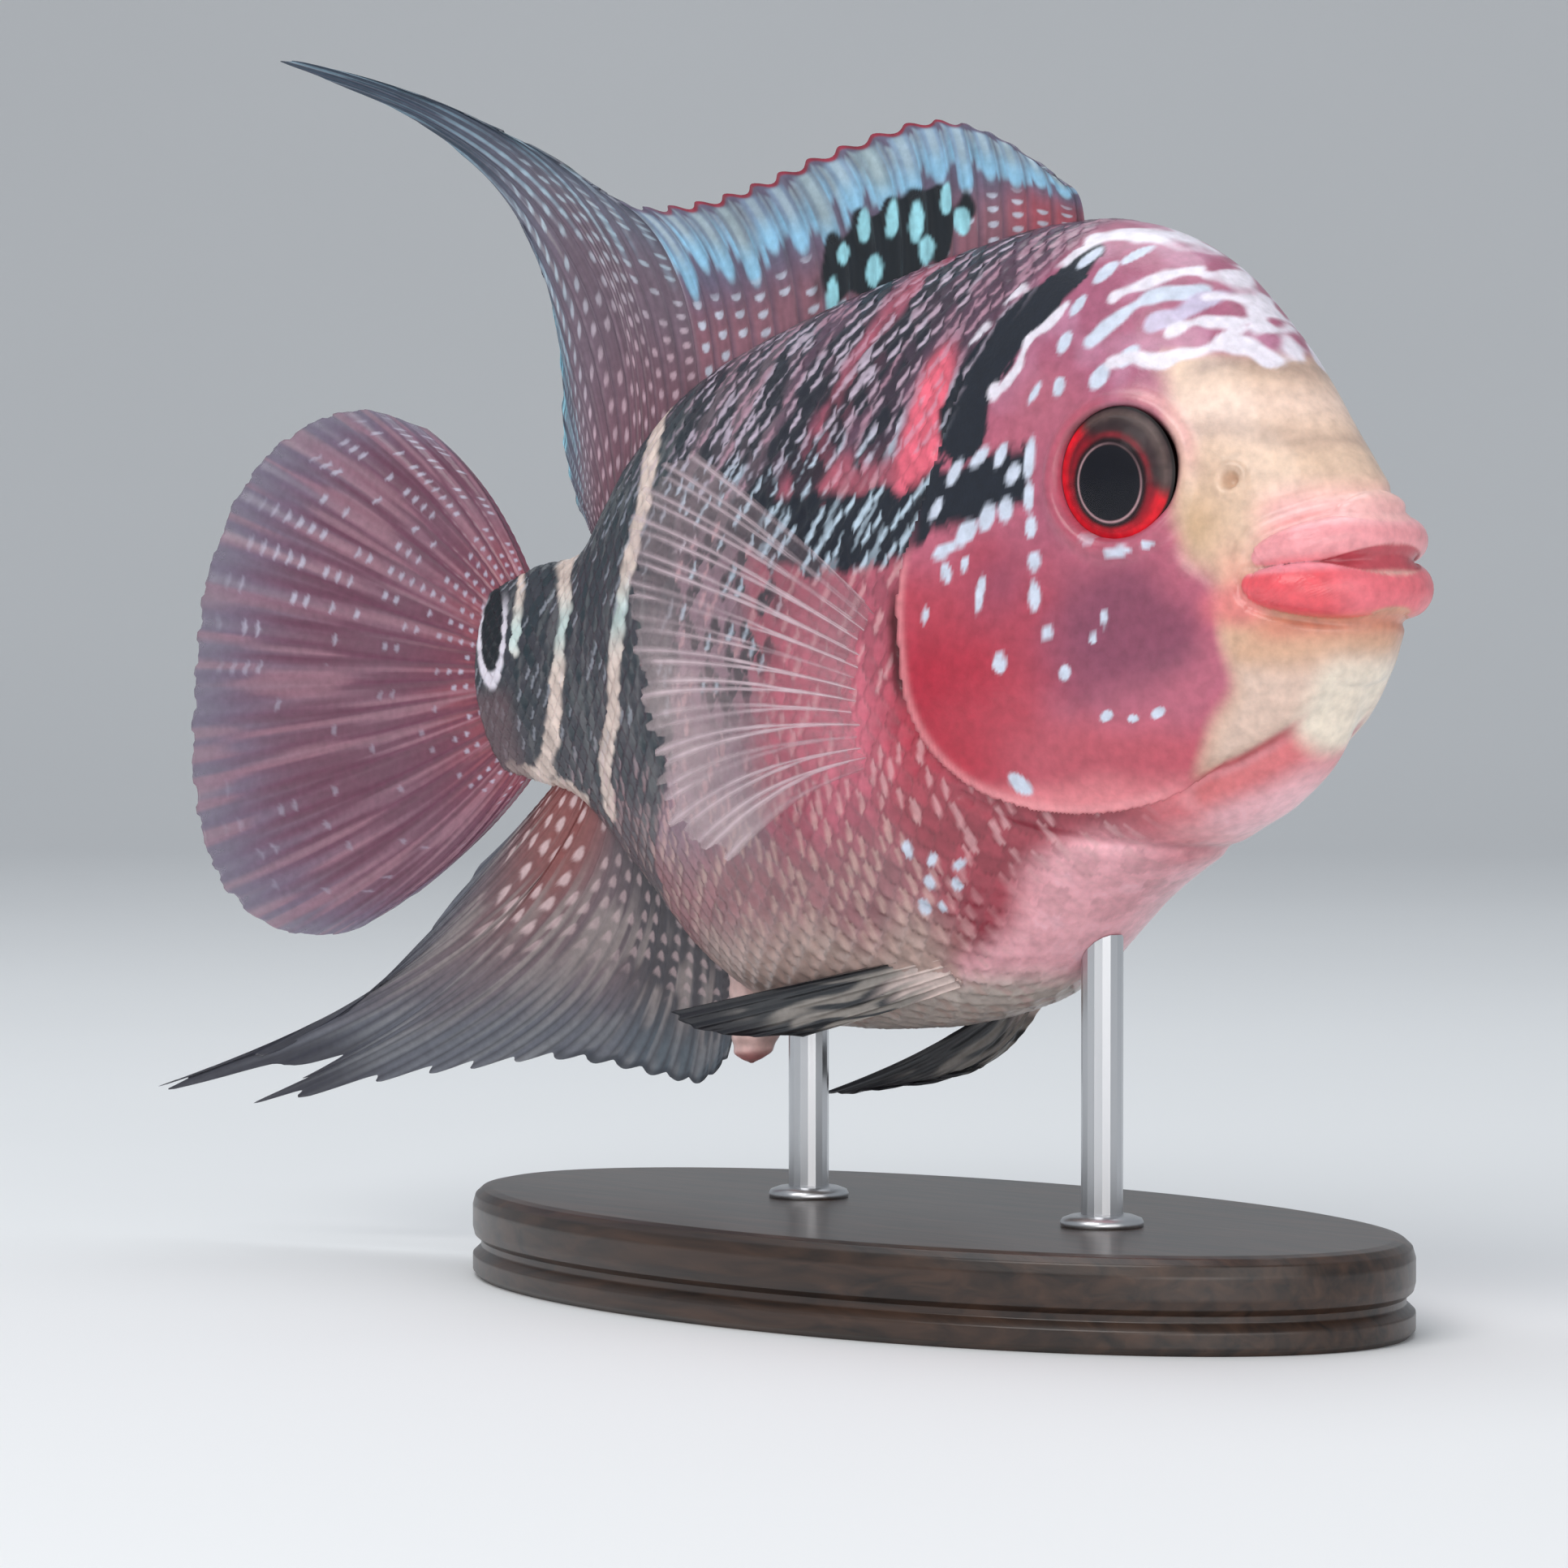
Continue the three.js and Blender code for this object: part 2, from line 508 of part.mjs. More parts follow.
// Display stand: a flat oval base and two upright rods, their tops cut to the belly.
const BASE = { x: -2, length: 116, width: 62, thickness: 9, bevel: 1.2 };
const RODS = { radius: 2, top: 45, stand_rod_front: 22.5, stand_rod_rear: -18.5 };
const oval = new THREE.Shape();
oval.absellipse(0, 0, BASE.length / 2 - BASE.bevel, BASE.width / 2 - BASE.bevel, 0, 2 * Math.PI);
const slab = new THREE.ExtrudeGeometry(oval, {
  depth: BASE.thickness - 2 * BASE.bevel,
  bevelThickness: BASE.bevel,
  bevelSize: BASE.bevel,
  bevelSegments: 2,
  curveSegments: 24,
});
slab.translate(BASE.x, 0, BASE.bevel);

const model = new THREE.Group();
model.add(fish);
function addToStand(name, solid, material) {
  const mesh = new THREE.Mesh(geometryOf(solid), material);
  mesh.name = name;
  model.add(mesh);
}
addToStand("stand_base", fromGeometry(slab), BASE_PAINT);
const toFloor = new THREE.Matrix4().makeTranslation(0, 0, AXIS_HEIGHT);
toFloor.multiply(new THREE.Matrix4().makeRotationY(-PITCH));
toFloor.multiply(new THREE.Matrix4().makeTranslation(-PIVOT_X, 0, 0));
const bodyOverBase = bodyClear.transform(toFloor.elements);
const bottom = (solid) => solid.boundingBox().min[2];
const lowest = (solid) => solid.decompose().sort((a, b) => bottom(a) - bottom(b))[0];
for (const name of ["stand_rod_front", "stand_rod_rear"]) {
  const foot = BASE.thickness + GAP;
  const rod = new THREE.CylinderGeometry(RODS.radius, RODS.radius, RODS.top - foot, 16);
  rod.rotateX(Math.PI / 2);
  rod.translate(RODS[name], 0, (RODS.top + foot) / 2);
  addToStand(name, lowest(fromGeometry(rod).subtract(bodyOverBase)), STEEL);
}

export default model;
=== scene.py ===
"""Looks of a life-size flowerhorn cichlid model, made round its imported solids.

Lengths are in millimetres in the fish's own frame until to_row() sweeps the tail, pitches the fish and
turns them to metres. In it x runs from the root of the tail fin to the lips, y to its left and z up from
the axis. The two sides mirror each other, apart from noise. Colours are given as 0 to 255.
"""

import math

import bmesh
import bpy
import numpy as np
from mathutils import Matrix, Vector


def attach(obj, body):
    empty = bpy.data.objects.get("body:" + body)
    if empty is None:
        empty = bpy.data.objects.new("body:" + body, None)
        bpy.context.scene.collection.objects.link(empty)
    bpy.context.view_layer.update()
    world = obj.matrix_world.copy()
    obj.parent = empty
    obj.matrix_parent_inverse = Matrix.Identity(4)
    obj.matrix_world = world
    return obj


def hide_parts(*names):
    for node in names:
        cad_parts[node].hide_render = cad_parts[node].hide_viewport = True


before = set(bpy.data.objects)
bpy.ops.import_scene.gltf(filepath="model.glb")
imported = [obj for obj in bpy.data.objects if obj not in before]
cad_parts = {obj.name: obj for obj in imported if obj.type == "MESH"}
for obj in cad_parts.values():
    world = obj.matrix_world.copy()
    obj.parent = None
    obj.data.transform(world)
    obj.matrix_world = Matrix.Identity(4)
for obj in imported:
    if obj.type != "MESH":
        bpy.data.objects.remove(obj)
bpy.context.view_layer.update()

MM = 0.001
AXIS_HEIGHT = 66
PIVOT_X = 62.5
PITCH = math.radians(4.9)
BEND_X = 26
BEND_RADIUS = 150
BEND_MOST = math.radians(24)

# Body control rows, tail to lips:
# back x, z | belly x, z | flank x, half width, z | fullness above, below
ROWS = np.array([
    [-1.5, 9, -1, -9.6, -3.5, 1.3, -0.3, 2, 2],
    [5, 11, 4, -11.2, 3.5, 3.4, 0, 1.9, 1.9],
    [13, 12.6, 10, -13.6, 11.5, 5.6, 0, 1.8, 1.8],
    [22, 22, 19, -22, 21, 8.6, 0, 1.7, 1.75],
    [32, 27.6, 29.5, -31.5, 32, 12.2, -1, 1.7, 1.9],
    [46, 31.4, 43, -37.6, 46, 15.6, -3, 1.75, 2.1],
    [60, 34, 60, -38.8, 59, 17.2, -5, 1.8, 2.2],
    [73, 35.8, 75, -36.6, 70.5, 17, -6, 1.9, 2.2],
    [84.5, 36.4, 87.5, -28.9, 81, 16.2, -6, 2.1, 2.1],
    [94, 35.3, 98, -23.9, 90.5, 14.6, -5, 2.25, 2.1],
    [102.8, 30.6, 106.2, -20.6, 99.5, 12.8, -3.5, 2.3, 2.15],
    [110, 23.3, 113.4, -15.5, 107, 11, -2.5, 2.2, 2.15],
    [116, 14.6, 118.2, -9.6, 113, 9.2, -1.5, 2.1, 2.1],
    [121, 7.6, 121.6, -4.2, 117.6, 6.6, 0.2, 2.1, 2.1],
])
SNOUT = np.array([122.6, 0, 1.4])
EYE = {"x": 99.6, "z": 10.8, "radius": 5.9, "face": math.radians(11)}
NOSTRIL = {"x": 110.6, "z": 9.2, "radius": 0.75}


def spline(rows, t):
    """Uniform Catmull-Rom spline through rows; t runs from 0 to len(rows) - 1."""
    last = len(rows) - 1
    i = np.clip(np.floor(t).astype(int), 0, last - 1)
    f = (t - i)[..., None]
    b = rows[i]
    c = rows[i + 1]
    a = np.where((i > 0)[..., None], rows[np.maximum(i - 1, 0)], 2 * b - c)
    d = np.where((i < last - 1)[..., None], rows[np.minimum(i + 2, last)], 2 * c - b)
    cubic = (3 * b - a - 3 * c + d) * f**3
    return 0.5 * (2 * b + (c - a) * f + (2 * a - 5 * b + 4 * c - d) * f**2 + cubic)


def bump(v, centre, width):
    return np.exp(-(((v - centre) / width) ** 2))


def smooth(low, high, v):
    f = np.clip((v - low) / (high - low), 0, 1)
    return f * f * (3 - 2 * f)


def mix(a, b, f):
    return a + (b - a) * f


def to_row(p):
    """Fish millimetres to row metres: the tail's sideways sweep, then the pitch over the stand."""
    p = np.asarray(p, float)
    s = np.maximum(BEND_X - p[..., 0], 0)
    a = np.minimum(s / BEND_RADIUS, BEND_MOST)
    over = np.maximum(s - BEND_RADIUS * BEND_MOST, 0)
    behind = p[..., 0] < BEND_X
    y = p[..., 1]
    swept_x = BEND_X - BEND_RADIUS * np.sin(a) - over * np.cos(a) - y * np.sin(a)
    swept_y = -BEND_RADIUS * (1 - np.cos(a)) - over * np.sin(a) + y * np.cos(a)
    x = np.where(behind, swept_x, p[..., 0]) - PIVOT_X
    y = np.where(behind, swept_y, y)
    z = p[..., 2]
    turned_x = x * math.cos(PITCH) - z * math.sin(PITCH)
    turned_z = x * math.sin(PITCH) + z * math.cos(PITCH) + AXIS_HEIGHT
    return np.stack([turned_x, y, turned_z], -1) * MM


# Random numbers that are the same on every run

HASH_PRIMES = (374761393, 668265263, 1442695041, 1103515245)
HASH_FACTOR = 1274126177
HASH_MASK = 0xFFFFFF


def hash01(*keys):
    h = 0
    for k, prime in zip(keys, HASH_PRIMES):
        h = h + np.asarray(k, np.int64) * prime
    h = (h ^ (h >> 13)) * HASH_FACTOR
    return ((h ^ (h >> 16)) & HASH_MASK) / HASH_MASK


def noise(p, size, seed):
    """Smooth value noise from 0 to 1 with lumps of about this size."""
    q = p / size
    base = np.floor(q).astype(np.int64)
    f = q - base
    f = f * f * (3 - 2 * f)
    total = 0
    for corner in np.ndindex(2, 2, 2):
        near = hash01(*np.moveaxis(base + corner, -1, 0), seed)
        total = total + near * np.abs(1 - np.array(corner) - f).prod(-1)
    return total


def torn(p, size, seed, depth=1):
    """Noise about 0, for edges and patches that aren't even."""
    return depth * (noise(p, size, seed) - 0.5)


# Colours


def rgb(r, g, b):
    """Display values made linear."""
    c = np.array([r, g, b], float) / 255
    return np.where(c > 0.04045, ((c + 0.055) / 1.055) ** 2.4, c / 12.92)


def over(base, colour, mask):
    return base + (colour - base) * np.clip(mask, 0, 1)[..., None]


def paint(colour, *coats):
    """Lays tones over the colour one after the other, each by its mask."""
    for tone, mask in coats:
        colour = over(colour, rgb(*tone), mask)
    return colour


def plain(tone, like):
    """One tone at every point of an array."""
    return np.broadcast_to(rgb(*tone), like.shape + (3,)).copy()


def line_offset(x, z, line):
    """Distance to a line of points in the side view, + on the line's left and - on its right."""
    best = np.full(x.shape, np.inf)
    side = np.zeros(x.shape)
    for (ax, az), (bx, bz) in zip(line[:-1], line[1:]):
        dx = bx - ax
        dz = bz - az
        f = np.clip(((x - ax) * dx + (z - az) * dz) / (dx * dx + dz * dz), 0, 1)
        away = np.hypot(x - ax - f * dx, z - az - f * dz)
        nearer = away < best
        best = np.where(nearer, away, best)
        side = np.where(nearer, np.sign(dx * (z - az) - dz * (x - ax)), side)
    return best * side


def line_distance(x, z, line):
    return np.abs(line_offset(x, z, line))


def fine_line(points, count=40):
    rows = np.array(points, float)
    return spline(rows, np.linspace(0, len(rows) - 1, count))


# Meshes


def mesh_object(name, points, faces, colour=None, alpha=None):
    mesh = bpy.data.meshes.new(name)
    points = np.asarray(points, np.float32).reshape(-1, 3)
    faces = np.asarray(faces, np.int32)
    corners = faces.shape[1]
    mesh.vertices.add(len(points))
    mesh.vertices.foreach_set("co", points.ravel())
    mesh.loops.add(faces.size)
    mesh.loops.foreach_set("vertex_index", faces.ravel())
    mesh.polygons.add(len(faces))
    mesh.polygons.foreach_set("loop_start", np.arange(0, faces.size, corners, dtype=np.int32))
    mesh.polygons.foreach_set("loop_total", np.full(len(faces), corners, np.int32))
    mesh.update(calc_edges=True)
    mesh.polygons.foreach_set("use_smooth", np.ones(len(faces), bool))
    if colour is not None:
        flat = np.ones((len(points), 4), np.float32)
        flat[:, :3] = np.clip(colour.reshape(-1, 3), 0, 1)
        mesh.attributes.new("skin_colour", "FLOAT_COLOR", "POINT").data.foreach_set("color", flat.ravel())
    if alpha is not None:
        flat = alpha.ravel().astype(np.float32)
        mesh.attributes.new("fin_alpha", "FLOAT", "POINT").data.foreach_set("value", flat)
    mesh.validate()
    obj = bpy.data.objects.new(name, mesh)
    bpy.context.scene.collection.objects.link(obj)
    return obj


def grid_faces(rows, columns, wrap):
    i, j = np.meshgrid(np.arange(rows - 1), np.arange(columns if wrap else columns - 1), indexing="ij")
    k = (j + 1) % columns
    a = i * columns + j
    b = i * columns + k
    return np.stack([a, b, b + columns, a + columns], -1).reshape(-1, 4)


def close_rings(obj, *rings):
    """Fills open rings of vertices, given as (first, count)."""
    made = bmesh.new()
    made.from_mesh(obj.data)
    made.verts.ensure_lookup_table()
    for first, count in rings:
        made.faces.new(made.verts[first:first + count])
    bmesh.ops.remove_doubles(made, verts=made.verts[-rings[0][1]:], dist=1e-7)
    bmesh.ops.recalc_face_normals(made, faces=made.faces)
    made.to_mesh(obj.data)
    made.free()


def circle(count):
    """Angles of a whole turn."""
    return np.arange(count) / count * 2 * np.pi


def grid(first, second):
    return np.meshgrid(first, second, indexing="ij")


# Body


def relief(x, z):
    cover = 0.9 * bump(x, 77, 8) * bump(z, -8, 12)
    cheek = 0.7 * bump(x, 95, 8) * bump(z, -13, 7)
    hollow = -0.6 * bump(x, 107, 5) * bump(z, 5, 6)
    brow = 0.8 * bump(x, 97, 9) * bump(z, 24, 9)
    return cover + cheek + hollow + brow


def skin_points(t, angle):
    """Points of the bare body at stations t and angles: 0 on the back, pi / 2 on the left side."""
    bx, bz, ax, az, fx, width, fz, above, below = np.moveaxis(spline(ROWS, t), -1, 0)
    c = np.cos(angle)
    s = np.sin(angle)
    upper = c >= 0
    power = 2 / np.where(upper, above, below)
    x = fx + (np.where(upper, bx, ax) - fx) * c * c
    z = fz + (np.where(upper, bz, az) - fz) * np.abs(c) ** power
    y = width * np.abs(s) ** power + relief(x, z) * np.abs(s)
    return np.stack([x, np.sign(s) * y, z], -1)


AROUND = 560
PER_SPAN = 34
CAP_RINGS = 30
# The face is smoothed from x in FACE on, this many times over, so that the lips rise from an even skin
FACE = (108, 113)
FACE_PASSES = 60


def body_grid():
    spans = len(ROWS) - 1
    p = skin_points(*grid(np.linspace(0, spans, spans * PER_SPAN + 1), circle(AROUND)))
    last = p[-1]
    turn = np.linspace(0, np.pi / 2, CAP_RINGS + 1)[1:, None]
    cap = np.stack([
        last[:, 0] + (SNOUT[0] - last[:, 0]) * np.sin(turn),
        last[:, 1] * np.cos(turn),
        SNOUT[2] + (last[:, 2] - SNOUT[2]) * np.cos(turn),
    ], -1)
    return np.concatenate([p, cap])


def unit(n):
    return n / np.maximum(np.linalg.norm(n, axis=-1, keepdims=True), 1e-9)


def grid_normals(p):
    around = (np.roll(p, -1, 1) - np.roll(p, 1, 1)) / 2
    n = unit(np.cross(np.gradient(p, axis=0), around))
    out = (n * (p - p.mean(1, keepdims=True))).sum(-1, keepdims=True)
    n *= np.where(np.sign(out) == 0, 1, np.sign(out))
    n[-1] = (1, 0, 0)
    blend = smooth(*FACE, p[..., :1])
    for _ in range(FACE_PASSES):
        ahead = np.concatenate([n[1:], n[-1:]])
        behind = np.concatenate([n[:1], n[:-1]])
        n = unit(mix(n, (ahead + behind) / 2, 0.7 * blend))
    return n


def surface_lengths(p):
    """Length along the body, and round it from the middle of the flank, positive towards the back."""
    quarter = AROUND // 4
    steps = np.linalg.norm(np.diff(p[:, quarter], axis=0), axis=-1)
    along = np.concatenate([[0], np.cumsum(steps)])
    ring = np.linalg.norm(np.diff(p, axis=1, append=p[:, :1]), axis=-1)
    walked = np.concatenate([np.zeros((len(p), 1)), np.cumsum(ring, 1)[:, :-1]], 1)
    left = walked[:, [quarter]] - walked
    right = walked - walked[:, [3 * quarter]]
    half = np.arange(AROUND) <= AROUND // 2
    return along[:, None] + np.zeros(AROUND), np.where(half, left, right)


GILL_EDGE = fine_line([
    (88, 30), (82.5, 24), (79.6, 16), (77.3, 9), (75.6, 5), (75, 1), (75.3, -3.4), (76, -8.5),
    (78.2, -13.3), (82, -17), (87.4, -19.3), (93, -19.9), (99.4, -19.1), (105, -17.4), (108.5, -14.6),
], 60)
GILL_MEMBRANE = fine_line([(80, -17.4), (84, -20.6), (90, -22.6), (96, -23.8), (100.5, -24.4)])
# Above GILL_TOP all counts as far from the gill cover's edge. Above NAPE_FROM the scales start at NAPE
GILL_TOP = 29
FAR = 9
NAPE_FROM = 16
NAPE = fine_line([(92.5, 40), (90, 33), (84, 26), (80.5, 20), (77.5, 12)])
JAW_GROOVE = fine_line([
    (117.2, -10.8), (115.5, -12.6), (113.1, -14.2), (109.3, -16.1), (106, -17.4), (101, -19.2),
])
JAW_BELOW = fine_line([
    (123, -5.5), (119, -9.4), (115.5, -12.6), (113.1, -14.2), (109.3, -16.1), (106, -17.4), (99, -19.6),
])
CHEEK_EDGE = fine_line([
    (103.5, 21), (104.8, 17.5), (105.6, 12), (105.2, 6.4), (106.4, 3), (109.2, 0.2), (110.4, -4.5),
    (110, -8), (108.6, -11.4), (106.4, -15.5), (104, -18),
])
LIPS = (
    {"corner": (113.4, 8.2, 1.8), "reach": 120.7, "z": 3.2, "end": 1, "radius": 2.15},
    {"corner": (112.7, 8.5, -0.6), "reach": 120, "z": -1.6, "end": 1.3, "radius": 2.85},
)
LIPS_FROM = 107


def lip_centres(lip):
    a = np.linspace(-np.pi / 2, np.pi / 2, 90)
    cx, cy, cz = lip["corner"]
    forward = np.maximum(np.cos(a), 0)
    x = cx + (lip["reach"] - cx) * forward**0.9
    z = cz + (lip["z"] - cz) * forward**0.6
    radius = lip["end"] + (lip["radius"] - lip["end"]) * forward**0.6
    return np.stack([x, cy * np.sin(a), z], -1), radius


def lip_fields(p):
    """For each lip: the nearest point of its centre line, the distance to it and the lip's radius there."""
    found = []
    near = p[..., 0] > LIPS_FROM
    for lip in LIPS:
        centres, radii = lip_centres(lip)
        centre = np.zeros_like(p)
        away = np.full(p.shape[:-1], 99.0)
        radius = np.ones(p.shape[:-1])
        d = np.linalg.norm(p[near][:, None, :] - centres[None], axis=-1)
        k = d.argmin(1)
        centre[near] = centres[k]
        away[near] = d.min(1)
        radius[near] = radii[k]
        found.append((centre, away, radius))
    return found


def lip_rise(p, normal, lip_data):
    """How far the lips stand out of the skin along its normal, and 1 where the two lips meet."""
    rises = []
    for centre, _, radius in lip_data:
        d = p - centre
        out = (d * normal).sum(-1)
        inside = radius**2 - (d * d).sum(-1)
        rise = np.sqrt(np.maximum(out**2 + inside, 0)) - out
        rises.append(np.where(inside > 0, rise, 0))
    seam = smooth(0.35, 0, np.abs(rises[0] - rises[1])) * (np.minimum(*rises) > 0)
    return np.maximum(*rises), seam


# Scales: rounded plates like tiles, each over the one behind it

SCALE = {"pitch": 2.8, "column": 0.46, "radius": 0.6, "flat": 0.92}


def scale_cells(s, w):
    """Where each point lies on its scale: s and w from the scale's centre, the distance in from its free
    edge (0 to 1) and the scale's own numbers."""
    pitch = SCALE["pitch"]
    column_step = SCALE["column"] * pitch
    first = np.floor(s / column_step).astype(np.int64)
    u = np.zeros(s.shape)
    v = np.zeros(s.shape)
    edge = np.zeros(s.shape)
    column = np.zeros(s.shape, np.int64)
    row = np.zeros(s.shape, np.int64)
    free = np.ones(s.shape, bool)
    for step in (2, 1, 0, -1):
        k = first + step
        stagger = 0.5 * (k & 1)
        m = np.round(w / pitch - stagger).astype(np.int64)
        du = s - k * column_step
        dv = w - (m + stagger) * pitch
        r = np.hypot(du * SCALE["flat"], dv) / (SCALE["radius"] * pitch)
        here = free & ((r < 1) | (step == -1))
        u = np.where(here, du, u)
        v = np.where(here, dv, v)
        edge = np.where(here, np.clip(1 - r, 0, 1), edge)
        column = np.where(here, k, column)
        row = np.where(here, m, row)
        free &= ~here
    return u, v, edge, (column, row)


def scaled_part(x, z, gill):
    """1 where the body wears full scales, 0 on the head."""
    nape = smooth(-1.5, 1.5, -line_offset(x, z, NAPE))
    return np.where(z > NAPE_FROM, nape, smooth(-0.3, 0.5, gill)) * smooth(100, 92, x)


# Markings


def spot(x, z, at, size, slant, long, ragged):
    """A pearl: soft round spot, drawn out by long and leaning forward by slant (radians)."""
    dx = x - at[0]
    dz = z - at[1]
    a = dx * math.cos(slant) - dz * math.sin(slant)
    b = dx * math.sin(slant) + dz * math.cos(slant)
    return smooth(1.25, 0.85, np.hypot(a, b / long) / size + ragged)


BLACK = rgb(16, 24, 32)
INK = rgb(24, 30, 42)
PEARL = rgb(206, 215, 232)
CYAN = rgb(150, 212, 226)
WHITE = rgb(232, 226, 238)

# Pearls: x, z, size, slant, length
PEARLS = [
    (90.2, 13.2, 0.62, 0.1, 3), (90.2, 9.6, 0.55, 0, 2.4), (90.4, 6.8, 0.55, 0, 1.9),
    (90.7, 3.6, 0.66, 0, 1.3), (90.6, 0.4, 0.6, 0, 2.2), (91.9, -3.2, 0.62, 0, 1.1),
    (86.5, -5.6, 0.68, 0, 1.3), (93.6, -7, 0.6, 0.2, 1.2), (98, -2.3, 0.42, 0, 1.5),
    (96.8, -4.2, 0.36, 0, 1), (97.4, -11.3, 0.42, 1.2, 1.5), (100, -11.7, 0.32, 1.4, 1.6),
    (102.4, -11.4, 0.42, 1.1, 1.7), (86.6, -16.8, 0.7, -0.8, 1.7), (84.6, 1.1, 0.45, 0.2, 3.6),
    (80.8, 3.4, 0.55, -0.3, 1.8), (82.9, 4.1, 0.4, 0.1, 1.6), (78.4, -0.4, 0.32, 0.1, 2.2),
    (88.3, 11.9, 0.75, 0.6, 1.5), (86.8, 13.9, 0.6, 0.5, 2.2), (84.2, 13.9, 0.62, 0.9, 2),
    (81.4, 12.8, 0.6, 0.6, 2), (85.4, 8.2, 0.85, 0.4, 1.6), (87.6, 8.6, 0.8, 0.1, 1.3),
    (83, 6.9, 0.85, 0.9, 1.7), (80.6, 5.6, 0.6, 1.2, 2.2), (79.4, 9.4, 0.5, 0.5, 2.2),
    (93.2, 23.7, 0.72, 0.3, 1.4), (97.6, 20, 0.85, 0.7, 1.3), (93.2, 19.6, 0.6, 0.1, 1.5),
    (93.8, 27.2, 0.5, 0.5, 2), (90.4, 19.3, 0.42, 0.6, 2.6), (100.2, 21.6, 0.7, 0.9, 1.7),
    (96.8, 5, 0.5, -0.8, 1.7), (99.8, 3.6, 0.42, 1.5, 3.2), (102.8, 4, 0.3, 1.4, 1.8),
    (95.5, 30.2, 0.7, 0.7, 1.6), (97.6, 31.6, 0.55, 0.9, 2), (93, 31.8, 0.6, 0.8, 1.8),
    (72.4, -22, 0.6, 0, 1.4), (74.8, -23.1, 0.45, 0.8, 1.6), (77.4, -23.8, 0.4, 1.2, 1.8),
    (73.6, -25.2, 0.55, 0.2, 1.2), (76.4, -25.6, 0.5, 0.2, 1.2), (72, -27.4, 0.6, 0.5, 1.3),
    (74, -27.6, 0.45, 0, 1.2),
]
# Worm lines of the hump, each with its half width
HUMP_LINES = [
    (fine_line([(97.6, 27.6), (99.4, 28.4), (101.2, 29.2), (103, 29.6)], 16), 0.52, WHITE),
    (fine_line([(92, 33.6), (95.5, 33.9), (99.5, 33.2), (102, 31.8)], 16), 0.55, WHITE),
    (fine_line([(96.2, 23.6), (98.2, 25.2), (99.8, 26.6), (102.4, 27.4), (104.6, 27.2)], 16), 0.6, PEARL),
    (fine_line([(102, 24.4), (104, 25.3), (105.6, 26.4)], 16), 0.95, rgb(196, 186, 212)),
    (fine_line([(103.6, 23.6), (106, 24.4), (108.4, 24)], 16), 0.6, WHITE),
    (fine_line([
        (98.6, 21.2), (100.8, 21.6), (103.4, 21), (106, 21.4), (108.6, 22), (111.6, 20),
    ], 24), 0.55, WHITE),
    (fine_line([(104.4, 29.4), (107.2, 27.2), (109.8, 24.2), (112.4, 20.6)], 16), 0.45, WHITE),
    (fine_line([(105.6, 26.8), (107.6, 26.2), (108.8, 24.8)], 10), 0.4, WHITE),
    (fine_line([(107.6, 22.2), (109, 23.6), (110.2, 23.2)], 10), 0.4, WHITE),
]
# No pearl reaches further than this from its middle
PEARL_REACH = 4
# Length along the body, and the pitch of the scales there
SCALE_PITCHES = ((0, 14, 34, 70, 92, 110), (1.9, 2.2, 2.7, 2.9, 2.6, 2.2))


def head_colour(x, z, p):
    """The hump, cheek and gill cover, without pearls."""
    fleck = torn(p, 5, 11)
    fine = torn(p, 1.8, 13)
    hump = smooth(15, 21, z + 3 * fleck)
    mauve = np.hypot((x - 99) / 11.5, (z + 3.5) / 8.5) + 0.45 * fleck
    flush = smooth(90, 80, x + 4 * fleck) * smooth(1, -6, z) * smooth(-20, -14, z)
    colour = paint(
        plain((186, 98, 120), x),
        ((166, 92, 120), hump),
        ((190, 130, 158), hump * smooth(0.45, 0.7, noise(p, 3.2, 12)) * 0.75),
        ((180, 100, 120), bump(x, 91.5, 4.5) * bump(z, 18.5, 4)),
        ((168, 92, 116), bump(x, 93, 3.4) * bump(z, 9, 6) * 0.8),
        ((180, 66, 84), smooth(8, 1, z + 4 * fleck) * smooth(98, 88, x + 3 * fine)),
        ((176, 40, 62), flush),
        ((132, 70, 94), smooth(1.15, 0.35, mauve) * 0.92),
        ((150, 76, 100), bump(x, 87, 4) * bump(z, 2, 4) * 0.7),
        ((188, 82, 98), smooth(-10, -14.5, z + 2.5 * fleck) * smooth(84, 90, x)),
        ((228, 134, 142), smooth(-15.5, -19, z + 1.5 * fleck)),
    )
    return face_colour(colour, x, z, fleck)


# Height, strength of the faint dark bars between the eyes
FACE_BARS = ((19.2, 0.8), (13.2, 0.62), (9.6, 0.2))


def face_colour(colour, x, z, fleck):
    """The pale mask in front of the eyes, its faint bars, and the jaws."""
    ahead = smooth(-1.3, 1.3, line_offset(x, z, CHEEK_EDGE) + 1.6 * fleck)
    ahead = ahead * smooth(22.4, 20.6, z + 0.12 * (x - 105) + fleck)
    colour = paint(
        colour,
        ((226, 195, 171), ahead),
        ((238, 209, 193), ahead * bump(z, 16, 2.4) * 0.8),
        ((206, 172, 138), ahead * bump(x, 107.2, 3) * bump(z, 5.2, 3.4) * 0.9),
        ((220, 152, 136), ahead * bump(x, 111, 2.2) * bump(z, 0.4, 2.6) * 0.7),
    )
    wave = 0.7 * np.sin(0.4 * (x - 105)) + 1.6 * fleck
    for bar_z, strength in FACE_BARS:
        bar = bump(z, bar_z + wave, 1.2) * smooth(104.5, 107.5, x) * (0.75 + 0.6 * fleck)
        colour = over(colour, rgb(164, 138, 128), ahead * bar * strength)
    snout = smooth(9.6, 5.6, z) * smooth(111.5, 116, x) * smooth(-2, 1, z)
    colour = over(colour, rgb(244, 186, 184), snout)
    return jaw_colour(colour, x, z, ahead * smooth(-1.2, -3.6, z), fleck)


